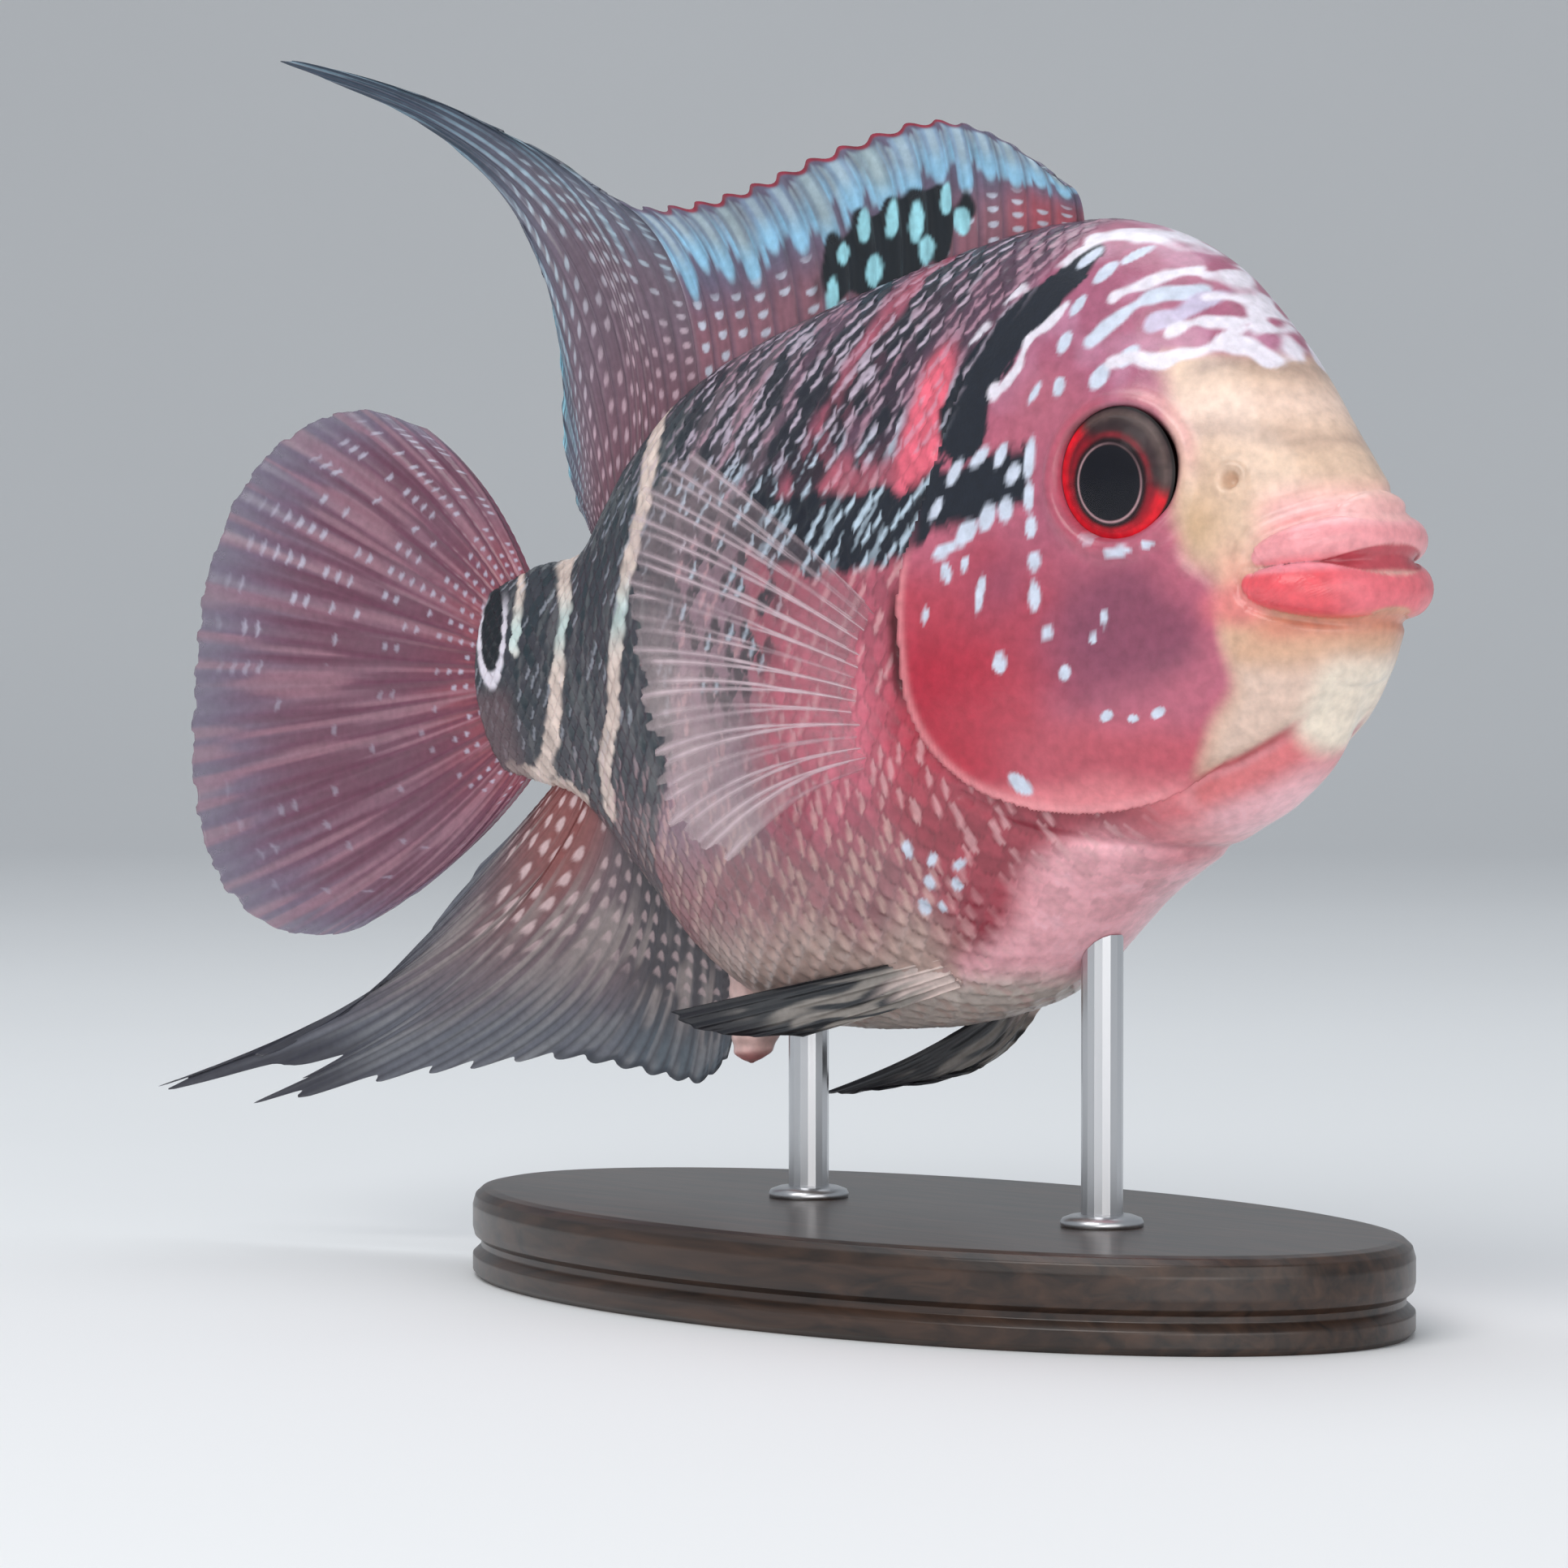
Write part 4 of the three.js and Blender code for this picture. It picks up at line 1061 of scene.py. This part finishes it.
def fin_sheet(knots, rays, fin):
    """Middle of the sheet, the place along the base in rays, that from the root (0) to the margin (1), and
    how far from a ray (0 to 1)."""
    ray, v = grid(np.arange(rays * PER_RAY + 1) / PER_RAY, np.linspace(0, 1, fin["rows"]))
    between = np.abs(ray - np.round(ray)) * 2
    scallop = fin["notch"] * np.sin(between * np.pi / 2) ** 2
    frayed = fin["fray"] * hash01(np.floor(ray * 4), np.zeros_like(ray), 71)
    where = (fin["first"] + (fin["last"] - fin["first"]) * ray / rays) * (len(knots) - 1)
    a, b, c = (spline(knots[:, k], where) for k in range(3))
    control = 2 * b - 0.5 * a - 0.5 * c
    f = (v * (1 - scallop - frayed))[..., None]
    return a * (1 - f) ** 2 + control * 2 * f * (1 - f) + c * f**2, ray, v, between


def branches(ray, v, spiny):
    """Ridges of the rays: one at the root, split in two past the middle."""
    one = bump(np.abs(ray - np.round(ray)), 0, 0.13)
    if spiny:
        return one
    two = bump(np.abs(ray * 2 - np.round(ray * 2 - 0.5) - 0.5), 0, 0.26)
    return one * smooth(0.75, 0.45, v) + two * smooth(0.45, 0.7, v) * 0.8


def rim_faces(rows, columns):
    index = np.arange(rows * columns).reshape(rows, columns)
    a = np.concatenate([index[:, 0], index[-1, 1:], index[-2::-1, -1], index[0, -2:0:-1]])
    b = np.roll(a, -1)
    return np.stack([b, a, a + index.size, b + index.size], -1)


def build_fin(name, knots, rays, look, **changes):
    fin = {**FIN, **changes}
    p, ray, v, between = fin_sheet(knots, rays, fin)
    ridge = branches(ray, v, fin["spiny"])
    half = (MEMBRANE_HALF + (fin["root_half"] - MEMBRANE_HALF) * ridge) * (1 - 0.75 * v) + 0.07
    joints = 1 + 0.1 * np.sin(v * fin["rows"] * 0.9) * ridge * (not fin["spiny"])
    n = unit(np.cross(np.gradient(p, axis=0), np.gradient(p, axis=1)))
    sway = SWAY * v**1.5 * np.sin(ray * 0.9 + 3 * v) + 0.25 * v * np.sin(ray * 2 * np.pi) * between
    middle = p + n * sway[..., None]
    thick = n * (half * joints)[..., None]
    colour, alpha = look(p, ray, v, ridge)
    face = grid_faces(*v.shape, False)
    faces = np.concatenate([face, face[:, ::-1] + v.size, rim_faces(*v.shape)])
    points = to_row(np.stack([middle + thick, middle - thick]))
    obj = mesh_object(name, points, faces, np.stack([colour] * 2), np.stack([alpha] * 2))
    obj.data.materials.append(FIN_MATERIAL)
    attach(obj, "root")
    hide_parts(name)


def fin_pearls(ray, v, rows_of, size, shift, chance):
    """Spots on the membrane between rays, in rows across the fin."""
    panel = np.floor(ray)
    stagger = 0.5 * (panel.astype(int) & 1) + 0.35 * hash01(panel, panel, shift)
    across = v * rows_of + stagger
    cell = np.floor(across)
    a = (ray - panel - 0.5) / (size * 1.25)
    b = (across - cell - 0.5) / (size * 1.3)
    return smooth(1.2, 0.7, np.hypot(a, b)) * (hash01(panel, cell, shift + 1) < chance)


def streaks(ray, v, per_ray, size, seed):
    """Fine uneven streaks that run out along the rays."""
    return noise(np.stack([ray * per_ray, v * size, v * 0], -1), 1, seed)


def off_branches(ray, v, spread, low, high):
    """Distance from the two lines into which a ray splits between low and high, in rays."""
    return np.abs(np.abs(ray - np.round(ray)) - spread * smooth(low, high, v))


def opacity(least, thick):
    """Least where the fin is thin, 1 where it is thick."""
    return least + (1 - least) * np.clip(thick, 0, 1)


BLOTCH = {"x": 59.5, "z": 37.6, "half_length": 11, "half_height": 4.4, "slope": 0.2}
# Light spots of the blotch: x, z, size, length
BLOTCH_SPOTS = [
    (52.5, 37.7, 0.95, 1.1), (56.8, 35.5, 1.15, 1.3), (50.6, 33.9, 0.75, 2.2), (64.3, 36.6, 1.1, 1.2),
    (63, 39.6, 0.95, 1.9), (69.6, 38.8, 1, 1.3), (55.6, 40.2, 0.8, 2), (59.6, 40.2, 0.85, 2.2),
    (67.4, 41.2, 0.8, 1.8),
]
# Pale lobes between the spines: place between two spines, half width, seed, lower start, rounded end
LOBES = ((0.5, 0.3, 81, 0, 0), (0.1, 0.14, 82, 0.1, 1), (0.9, 0.14, 83, 0.1, 1))


def spiny_look(p, ray, v, ridge):
    x, _, z = np.moveaxis(p, -1, 0)
    colour = paint(
        plain((106, 100, 124), x),
        ((140, 92, 104), smooth(0.55, 0.25, v) * 0.9),
        ((180, 84, 98), smooth(74, 79, x) * smooth(0.6, 0.3, v) * 0.8),
    )
    panel = np.floor(ray)
    rear = smooth(52, 44, x)
    for part, wide, seed, later, rounded in LOBES:
        start = 0.36 + 0.2 * hash01(panel, panel, seed) + later
        end = 0.985 - 0.1 * hash01(panel, panel, seed + 3) * rounded
        across = np.abs(ray - panel - part) / wide
        lobe = smooth(1.15, 0.7, across) * smooth(start - 0.03, start + 0.05, v - 0.05 * across**2)
        lobe = lobe * smooth(end, end - 0.05, v + 0.035 * across**2)
        tone = mix(rgb(152, 176, 186), rgb(146, 176, 204), hash01(panel, panel, seed + 6)[..., None])
        colour = paint(
            over(colour, tone, lobe * (0.9 - 0.3 * rear)),
            ((184, 204, 208), lobe * smooth(0.55, 0.2, across) * 0.45),
            ((146, 206, 240), lobe * smooth(start + 0.3, start + 0.08, v) * 0.8),
        )
    low = fin_pearls(ray, v, 12, 0.17, 83, 0.85) * smooth(0.5, 0.38, v)
    colour = over(colour, rgb(198, 204, 220), low * 0.85)
    along = (x - BLOTCH["x"]) / BLOTCH["half_length"]
    rise = (z - BLOTCH["z"] - BLOTCH["slope"] * (x - BLOTCH["x"])) / BLOTCH["half_height"]
    ragged = torn(p, 2.2, 85, 0.45) + 0.06 * np.cos(ray * 2 * np.pi)
    blotch = smooth(1.08, 0.94, np.hypot(along, rise) + ragged)
    colour = over(colour, BLACK, blotch)
    for sx, sz, size, long in BLOTCH_SPOTS:
        mask = spot(x, z, (sx, sz), size, 0.15, long, torn(p, 0.8, 86, 0.3))
        colour = over(colour, rgb(158, 222, 234), mask)
    colour = paint(
        colour,
        ((84, 70, 90), smooth(0.35, 0.9, ridge) * 0.55 * smooth(0.98, 0.9, v) * (1 - blotch)),
        ((150, 44, 66), smooth(0.955, 0.98, v) * smooth(72, 66, x) * smooth(22, 30, x)),
    )
    colour = colour * (0.82 + 0.36 * streaks(ray, v, 7, 6, 87))[..., None]
    return colour, opacity(0.86, ridge + smooth(0.5, 0.2, v))


def soft_look(p, ray, v, ridge):
    x, _, z = np.moveaxis(p, -1, 0)
    far = smooth(0.55, 0.95, v) * smooth(46, 56, z)
    colour = paint(
        plain((116, 98, 112), x),
        ((116, 72, 84), smooth(0.4, 0.05, v) * 0.8),
        ((98, 106, 124), smooth(0.4, 0.8, v) * 0.85),
        ((52, 70, 88), far),
        ((82, 68, 82), smooth(0.3, 0.9, ridge) * 0.5),
    )
    pearls = fin_pearls(ray, v, 21, 0.17, 91, 0.9) * smooth(0.95, 0.6, v + 0.3 * far)
    tone = mix(rgb(196, 166, 178), rgb(176, 196, 210), smooth(0.2, 0.6, v)[..., None])
    streak = smooth(0.5, 0.15, np.abs(ray - np.floor(ray) - 0.5) * 2) * smooth(0.42, 0.6, v)
    streak = streak * smooth(0.35, 0.6, streaks(ray, v, 1.5, 7, 93))
    rear = smooth(20, 12, x) * smooth(46, 38, z) * smooth(0.86, 0.95, v)
    colour = paint(
        over(colour, tone, pearls * 0.8),
        ((142, 172, 190), streak * 0.6),
        ((56, 66, 84), rear * 0.8),
        ((150, 206, 226), fin_pearls(ray, v, 18, 0.3, 95, 0.8) * rear),
    )
    colour = colour * (0.8 + 0.4 * streaks(ray, v, 8, 7, 97))[..., None]
    return colour, opacity(0.84, ridge + smooth(0.6, 0.1, v))


def anal_look(p, ray, v, ridge):
    x = p[..., 0]
    back = smooth(10.5, 14.5, ray)
    grey = streaks(ray, v, 3.2, 5, 103)
    tip = smooth(-14, -28, x) * smooth(0.75, 0.95, v)
    pearls = fin_pearls(ray, v, 13, 0.22, 101, 0.75) * smooth(0.6, 0.42, v)
    colour = paint(
        plain((118, 100, 106), x),
        ((72, 68, 74), smooth(10, 19, x)),
        ((142, 82, 80), back * smooth(0.6, 0.2, v) * 0.95),
        ((158, 146, 144), smooth(0.45, 0.75, grey) * smooth(0.15, 0.4, v) * 0.75),
        ((96, 116, 130), smooth(0.5, 0.85, v) * 0.55),
        ((50, 50, 60), smooth(0.25, 0.9, ridge) * smooth(0.2, 0.7, v) * 0.7),
        ((46, 46, 58), tip * 0.9),
        ((222, 194, 196), pearls * (0.45 + 0.4 * back)),
        ((44, 50, 62), smooth(0.93, 0.98, v) * smooth(0, 8, x) * 0.8),
    )
    return colour, opacity(0.82, ridge + smooth(0.6, 0.2, v))


def caudal_look(p, ray, v, ridge):
    x, _, z = np.moveaxis(p, -1, 0)
    rib = smooth(0.2, 0.06, off_branches(ray, v, 0.2, 0.35, 0.75)) * smooth(1, 0.7, v) * smooth(0.1, 0.3, v)
    fine = streaks(ray, v, 4.5, 3, 113)
    upper = smooth(0, 10, z)
    root = smooth(0.3, 0.16, v)
    pearls = fin_pearls(ray, v, 25, 0.15, 111, 0.16 + 0.5 * root + 0.42 * upper)
    pearls = pearls * (0.4 + 0.5 * np.maximum(upper, root)) * smooth(1.02, 0.8, v)
    colour = paint(
        plain((140, 98, 116), x),
        ((146, 72, 84), smooth(0.45, 0.1, v) * 0.9),
        ((118, 110, 134), smooth(0.55, 1, v) * 0.9),
        ((98, 46, 72), rib * 0.6),
        ((104, 56, 78), smooth(0.55, 0.3, fine) * smooth(1, 0.6, v) * 0.6),
        ((176, 130, 144), smooth(0.55, 0.8, fine) * 0.5),
        ((198, 196, 216), pearls * 0.85),
    )
    alpha = opacity(0.8, ridge + smooth(0.5, 0.1, v)) * mix(1, 0.72, smooth(0.85, 1, v))
    return ocellus(colour, x, z), alpha


def pectoral_look(_p, ray, v, _ridge):
    """Thin pale rays in a clear membrane, milkier below and along the frayed edge."""
    broken = smooth(0.25, 0.5, streaks(ray, v, 2, 5, 118))
    line = smooth(0.11, 0.04, off_branches(ray, v, 0.17, 0.3, 0.7))
    line = line * mix(1, 0.7, v) * (0.45 + 0.55 * broken)
    milky = smooth(0.45, 1, v) * (0.35 + 0.65 * smooth(4, 9, ray))
    colour = paint(
        plain((176, 152, 160), v),
        ((198, 180, 182), milky),
        ((226, 138, 150), smooth(0.3, 0, v) * 0.9),
        ((220, 200, 208), line),
    )
    alpha = 0.06 + 0.26 * milky + 0.5 * line + 0.3 * smooth(0.45, 0.02, v)
    alpha = alpha * (0.75 + 0.5 * streaks(ray, v, 5, 9, 117))
    return colour, np.clip(alpha, 0, 1) * mix(1, 0.6, smooth(0.9, 1, v))


def pelvic_look(_p, ray, v, ridge):
    wavy = streaks(ray + 0.3 * np.sin(v * 14), v, 3, 5, 119)
    colour = paint(
        plain((50, 52, 56), v),
        ((182, 174, 166), smooth(0.5, 0.75, wavy) * smooth(0.9, 0.6, v) * 0.6),
        ((224, 204, 198), smooth(0.3, 0.05, v + 0.2 * (wavy - 0.5))),
        ((22, 22, 28), smooth(0.9, 0.4, ray) * smooth(0.05, 0.2, v) * 0.9),
        ((24, 24, 32), smooth(0.7, 0.95, v)),
    )
    return colour, np.clip(0.9 + 0.1 * ridge, 0, 1)


def build_fins():
    dorsal = median(DORSAL)
    edge = {"notch": 0.06, "fray": 0, "root_half": 0.55}
    build_fin("dorsal_fin_spiny", dorsal, 16, spiny_look, last=SPINY_END, rows=120, spiny=True, **edge)
    build_fin("dorsal_fin_soft", dorsal, 18, soft_look, first=SPINY_END, rows=150)
    build_fin("anal_fin", median(ANAL), 22, anal_look, rows=110, notch=0.05)
    build_fin("caudal_fin", median(CAUDAL), 22, caudal_look, rows=130, notch=0.004, fray=0.012)
    thin = {"rows": 90, "fray": 0.07, "root_half": 0.3}
    build_fin("pectoral_fin_right", beside(PECTORAL, -1, PECTORAL_FLANK), 14, pectoral_look, **thin)
    build_fin("pectoral_fin_left", beside(PECTORAL, 1, PECTORAL_FLANK), 14, pectoral_look, **thin)
    build_fin("pelvic_fin_right", beside(PELVIC_RIGHT, -1), 5, pelvic_look)
    build_fin("pelvic_fin_left", beside(PELVIC_LEFT, 1), 5, pelvic_look)


# Eyes

IRIS_RADIUS = EYE["radius"] + 0.35
EYE_SUNK = 0.5
# Stations and angles of the bare body round the eye
EYE_STATIONS = np.linspace(9, 12, 300)[:, None]
EYE_ANGLES = np.linspace(0.8, 1.7, 200)[None]
PUPIL = {"share": 0.54, "back": 0.04, "down": 0.13}


def eye_centre(side):
    """Where the socket sits: the skin's half width there, a little sunk."""
    near = skin_points(EYE_STATIONS, EYE_ANGLES)
    d = np.hypot(near[..., 0] - EYE["x"], near[..., 2] - EYE["z"])
    y = near[..., 1].ravel()[d.argmin()]
    return np.array([EYE["x"], side * (y - EYE_SUNK), EYE["z"]])


def dome(side, radius, height, rings, around):
    """A dome of points on the eye, and each one's share of the radius and angle. Angle 0 is forward."""
    c = math.cos(EYE["face"])
    s = math.sin(EYE["face"])
    forward = np.array([c, -side * s, 0])
    up = np.array([0, 0, 1])
    out = np.array([s, side * c, 0])
    r, a = grid(np.linspace(0, 1, rings), circle(around))
    flat = radius * r
    lift = height(r)
    axes = zip(forward, up, out)
    p = np.stack([flat * np.cos(a) * f + flat * np.sin(a) * u + lift * o for f, u, o in axes], -1)
    return eye_centre(side) + p, r, a


def iris_height(r):
    return 2 * np.sqrt(np.clip(1 - (r * 0.96) ** 2, 0, 1)) - 0.35


def cornea_height(r):
    return 2.9 * np.sqrt(np.clip(1 - r**2, 0, 1)) - 0.4


def iris_colour(r, a):
    """Red behind and below, dark brown above and ahead, round a blue-black pupil set a little low."""
    fx = r * np.cos(a)
    fz = r * np.sin(a)
    pupil = np.hypot(fx + PUPIL["back"], (fz + PUPIL["down"]) / 1.04)
    grained = noise(np.stack([a * 7, r * 4, r * 0], -1), 1, 121)
    ahead = fx * 0.62 + fz * 0.78
    lid = smooth(0.1, 0.42, ahead)
    share = PUPIL["share"]
    colour = paint(
        plain((112, 8, 26), r),
        ((222, 22, 40), smooth(0.74, 0.84, r) * (1 - lid)),
        ((168, 20, 38), bump(pupil, 0.7, 0.07) * smooth(0.5, 0, ahead) * 0.6),
        ((58, 42, 44), lid),
        ((98, 80, 76), lid * bump(r, 0.86, 0.07) * 0.7),
        ((150, 30, 44), bump(pupil, 0.68, 0.05) * lid * 0.7),
    )
    return paint(
        colour * (0.75 + 0.5 * grained)[..., None],
        ((22, 6, 12), smooth(share + 0.14, share + 0.05, pupil)),
        ((208, 166, 172), bump(pupil, share + 0.015, 0.016) * smooth(0.7, -0.3, ahead)),
        ((7, 9, 20), smooth(share + 0.005, share - 0.02, pupil)),
        ((18, 10, 12), smooth(0.95, 0.98, r)),
    )


def build_eyes():
    iris = iris_material()
    cornea = cornea_material()
    for side, name in ((-1, "eye_right"), (1, "eye_left")):
        p, r, a = dome(side, IRIS_RADIUS, iris_height, 70, 160)
        faces = grid_faces(*r.shape, True)[:, ::side]
        ball = mesh_object(name + "_ball", to_row(p), faces, iris_colour(r, a))
        ball.data.materials.append(iris)
        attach(ball, "root")
        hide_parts(name)
        p, r, _ = dome(side, EYE["radius"], cornea_height, 40, 120)
        shell = mesh_object(name + "_cornea", to_row(p), grid_faces(*r.shape, True)[:, ::side])
        shell.data.materials.append(cornea)
        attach(shell, "root")


def iris_material():
    material, tree = new_material("fish_iris")
    shade(tree, {
        "Base Color": mottled(tree, attribute(tree, "skin_colour", "Color"), 1500, 0.85, 1.15),
        "Roughness": 0.4,
        "Specular IOR Level": 0.3,
    })
    return material


def cornea_material():
    material, tree = new_material("fish_cornea")
    shade(tree, {
        "Base Color": (0.02, 0.02, 0.03, 1),
        "Normal": bumped(tree, grain(tree, 900), 0.05, 0.00005),
        "Roughness": 0.06,
        "Alpha": 0.12,
    })
    return material


# Vent papilla

VENT = np.array([[33.6, 0, -31], [33.4, 0, -35], [32.8, 0, -38.2], [32.2, 0, -40.6], [31.9, 0, -41.6]])
VENT_RADII = np.array([[3.3], [2.95], [2.7], [1.95], [0.15]])
VENT_FLAT = 0.85


def build_vent():
    t, a = grid(np.linspace(0, len(VENT) - 1, 60), circle(64))
    radius = spline(VENT_RADII, t)[..., 0]
    ripple = 1 + 0.03 * np.sin(5 * a + 2 * t) + 0.04 * np.sin(9 * t)
    ring = np.stack([radius * ripple * np.cos(a), VENT_FLAT * radius * ripple * np.sin(a), 0 * a], -1)
    colour = paint(
        plain((232, 196, 190), t),
        ((216, 142, 142), bump(t, 3.4, 0.5)),
        ((160, 90, 90), bump(t, 3.9, 0.15) * 0.8),
    )
    points = to_row(spline(VENT, t) + ring)
    vent = mesh_object("vent_papilla_skin", points, grid_faces(*t.shape, True), colour)
    vent.data.materials.append(bpy.data.materials["fish_skin"])
    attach(vent, "root")
    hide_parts("vent_papilla")


# Stand

BASE = {"x": -2, "half_length": 58, "half_width": 31}
# How far in from the outline and how high the base's section runs: a cove at the foot, then a rounded edge
BASE_EDGE = np.array([
    (1, 0), (0.6, 0), (0, 0.6), (0, 2.2), (0.9, 3), (0.9, 3.6), (0.2, 4.2), (0, 5), (0, 7.2), (0.3, 8.2),
    (1, 8.8), (2, 9), (4, 9), (12, 9), (24, 9), (30.9, 9),
])
BASE_AROUND = 256
# Inside this inset the top's rings shrink evenly to the middle
BASE_RIM = 5
RODS = {"stand_rod_front": 22.5, "stand_rod_rear": -18.5}
ROD_RADIUS = 2
COLLAR = np.array([
    (ROD_RADIUS, 8.9), (3.9, 8.9), (4, 9.4), (3.8, 9.8), (3, 10.1), (2.1, 10.2), (ROD_RADIUS, 10),
])
COLLAR_AROUND = 64
WOOD = ((0.012, 0.007, 0.005), (0.06, 0.03, 0.018))


def build_base():
    """An oval wooden base."""
    length = BASE["half_length"]
    width = BASE["half_width"]
    t = np.linspace(0, len(BASE_EDGE) - 1, 140)
    low = np.floor(t).astype(int)
    high = np.minimum(low + 1, len(BASE_EDGE) - 1)
    edge = BASE_EDGE[low] + (t % 1)[:, None] * (BASE_EDGE[high] - BASE_EDGE[low])
    inset, a = grid(edge[:, 0], circle(BASE_AROUND))
    height = np.repeat(edge[:, 1:], BASE_AROUND, 1)
    inner = (length - BASE_RIM) * (width - inset) / (width - BASE_RIM)
    x = BASE["x"] + np.where(inset > BASE_RIM, inner, length - inset) * np.cos(a)
    points = np.stack([x, (width - inset) * np.sin(a), height], -1) * MM
    base = mesh_object("stand_base_wood", points, grid_faces(*inset.shape, True))
    close_rings(base, (0, BASE_AROUND), (inset.size - BASE_AROUND, BASE_AROUND))
    base.data.materials.append(wood_material())
    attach(base, "root")
    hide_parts("stand_base")


def wood_material():
    material, tree = new_material("dark_wood")
    fibres = grain(tree, 70, 8, 0.6, (1, 9, 9))
    ramp = add_node(tree, "ValToRGB", {"Fac": fibres})
    for element, place, colour in zip(ramp.color_ramp.elements, (0.32, 0.72), WOOD):
        element.position = place
        element.color = (*colour, 1)
    shade(tree, {
        "Base Color": ramp.outputs["Color"],
        "Normal": bumped(tree, fibres, 0.15, 0.0002),
        "Roughness": 0.38,
        "Coat Weight": 0.25,
        "Coat Roughness": 0.2,
    })
    return material


def steel_material():
    material, tree = new_material("brushed_steel")
    brush = grain(tree, 60, 2, 0, (40, 40, 1))
    tone = add_node(tree, "MapRange", {"Value": brush, "To Min": 0.22, "To Max": 0.42})
    shade(tree, {
        "Base Color": (0.62, 0.63, 0.65, 1),
        "Normal": bumped(tree, brush, 0.1, 0.00005),
        "Roughness": tone.outputs["Result"],
        "Metallic": 1,
    })
    return material


def build_rods():
    """The CAD rods get steel, and each a thin collar where it enters the base."""
    steel = steel_material()
    r, a = grid(COLLAR[:, 0], circle(COLLAR_AROUND))
    height = np.repeat(COLLAR[:, 1:], COLLAR_AROUND, 1)
    first = np.arange(COLLAR_AROUND)
    after = (first + 1) % COLLAR_AROUND
    last = r.size - COLLAR_AROUND
    closing = np.stack([last + first, last + after, after, first], -1)
    faces = np.concatenate([grid_faces(*r.shape, True), closing])
    for name, x in RODS.items():
        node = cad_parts[name]
        node.data.materials.clear()
        node.data.materials.append(steel)
        points = np.stack([x + r * np.cos(a), r * np.sin(a), height], -1) * MM
        collar = mesh_object(name + "_collar", points, faces)
        collar.data.materials.append(steel)
        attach(collar, "root")


# Floor, light and camera

FOCAL_PX = 7582
IMAGE_PX = 1932
PIVOT_PX = (1155.4, 771.2)
CAMERA = {"azimuth": math.radians(46), "distance": 0.6, "sensor": 36}
PIVOT = Vector((0, 0, AXIS_HEIGHT * MM))
BACK = Vector((math.sin(CAMERA["azimuth"]), -math.cos(CAMERA["azimuth"]), 0))
RIGHT = Vector((math.cos(CAMERA["azimuth"]), math.sin(CAMERA["azimuth"]), 0))
UP = Vector((0, 0, 1))
# The floor, in metres: how far it runs, its curve's radius, the wall's height and the half width
FLOOR = {"reach": 1.2, "curve": 0.6, "height": 2.6, "half_width": 3}
# Place, size, watts and colour of each light
LIGHTS = {
    "key": ((0.15, -0.75, 0.75), 0.6, 4.4, (1, 0.98, 0.96)),
    "top": ((-0.2, 0.1, 0.95), 0.7, 3.4, (0.93, 0.97, 1)),
    "fill": ((0.8, -0.25, 0.2), 0.6, 1.5, (1, 0.97, 0.95)),
    "low_front": ((0.42, -0.42, 0.03), 0.3, 0.75, (1, 0.97, 0.95)),
}


def build_stage():
    """A pale floor that curves up into a wall far behind."""
    reach = FLOOR["reach"]
    curve = FLOOR["curve"]
    run = [(-reach, 0), (reach, 0)]
    for a in np.linspace(0.1, math.pi / 2, 12):
        run.append((reach + curve * math.sin(a), curve - curve * math.cos(a)))
    run.append((reach + curve, FLOOR["height"]))
    wide = FLOOR["half_width"]
    points = [RIGHT * w - BACK * d + UP * h for d, h in run for w in (-wide, wide)]
    floor = mesh_object("floor", points, grid_faces(len(run), 2, False))
    material, tree = new_material("studio_floor")
    pale = tree.nodes.new("ShaderNodeRGB").outputs[0]
    pale.default_value = (0.86, 0.87, 0.88, 1)
    shade(tree, {
        "Base Color": mottled(tree, pale, 3, 0.985, 1.015),
        "Normal": bumped(tree, grain(tree, 400), 0.08, 0.0001),
        "Roughness": 0.7,
    })
    floor.data.materials.append(material)


def put(name, data, place, target):
    """Puts a light or camera at a place and turns it to its target."""
    obj = bpy.data.objects.new(name, data)
    obj.location = place
    obj.rotation_mode = "QUATERNION"
    obj.rotation_quaternion = (target - Vector(place)).to_track_quat("-Z", "Y")
    bpy.context.scene.collection.objects.link(obj)
    return obj


def build_lights():
    for name, (place, size, watts, colour) in LIGHTS.items():
        data = bpy.data.lights.new(name, "AREA")
        data.size = size
        data.energy = watts
        data.color = colour
        put(name, data, place, PIVOT)
    world = bpy.data.worlds.new("studio")
    world.use_nodes = True
    background = world.node_tree.nodes["Background"]
    background.inputs["Color"].default_value = (0.85, 0.9, 0.96, 1)
    background.inputs["Strength"].default_value = 0.42
    bpy.context.scene.world = world


def build_camera():
    per_px = CAMERA["distance"] / FOCAL_PX
    off_x, off_z = (at - IMAGE_PX / 2 for at in PIVOT_PX)
    data = bpy.data.cameras.new("camera")
    data.sensor_width = CAMERA["sensor"]
    data.lens = FOCAL_PX / IMAGE_PX * CAMERA["sensor"]
    aim = PIVOT - RIGHT * off_x * per_px + UP * off_z * per_px
    bpy.context.scene.camera = put("camera", data, PIVOT + BACK * CAMERA["distance"], aim)


build_camera()
FIN_MATERIAL = fin_material()
build_skin()
build_fins()
build_eyes()
build_vent()
build_base()
build_rods()
build_stage()
build_lights()
bpy.context.scene.view_settings.view_transform = "Standard"
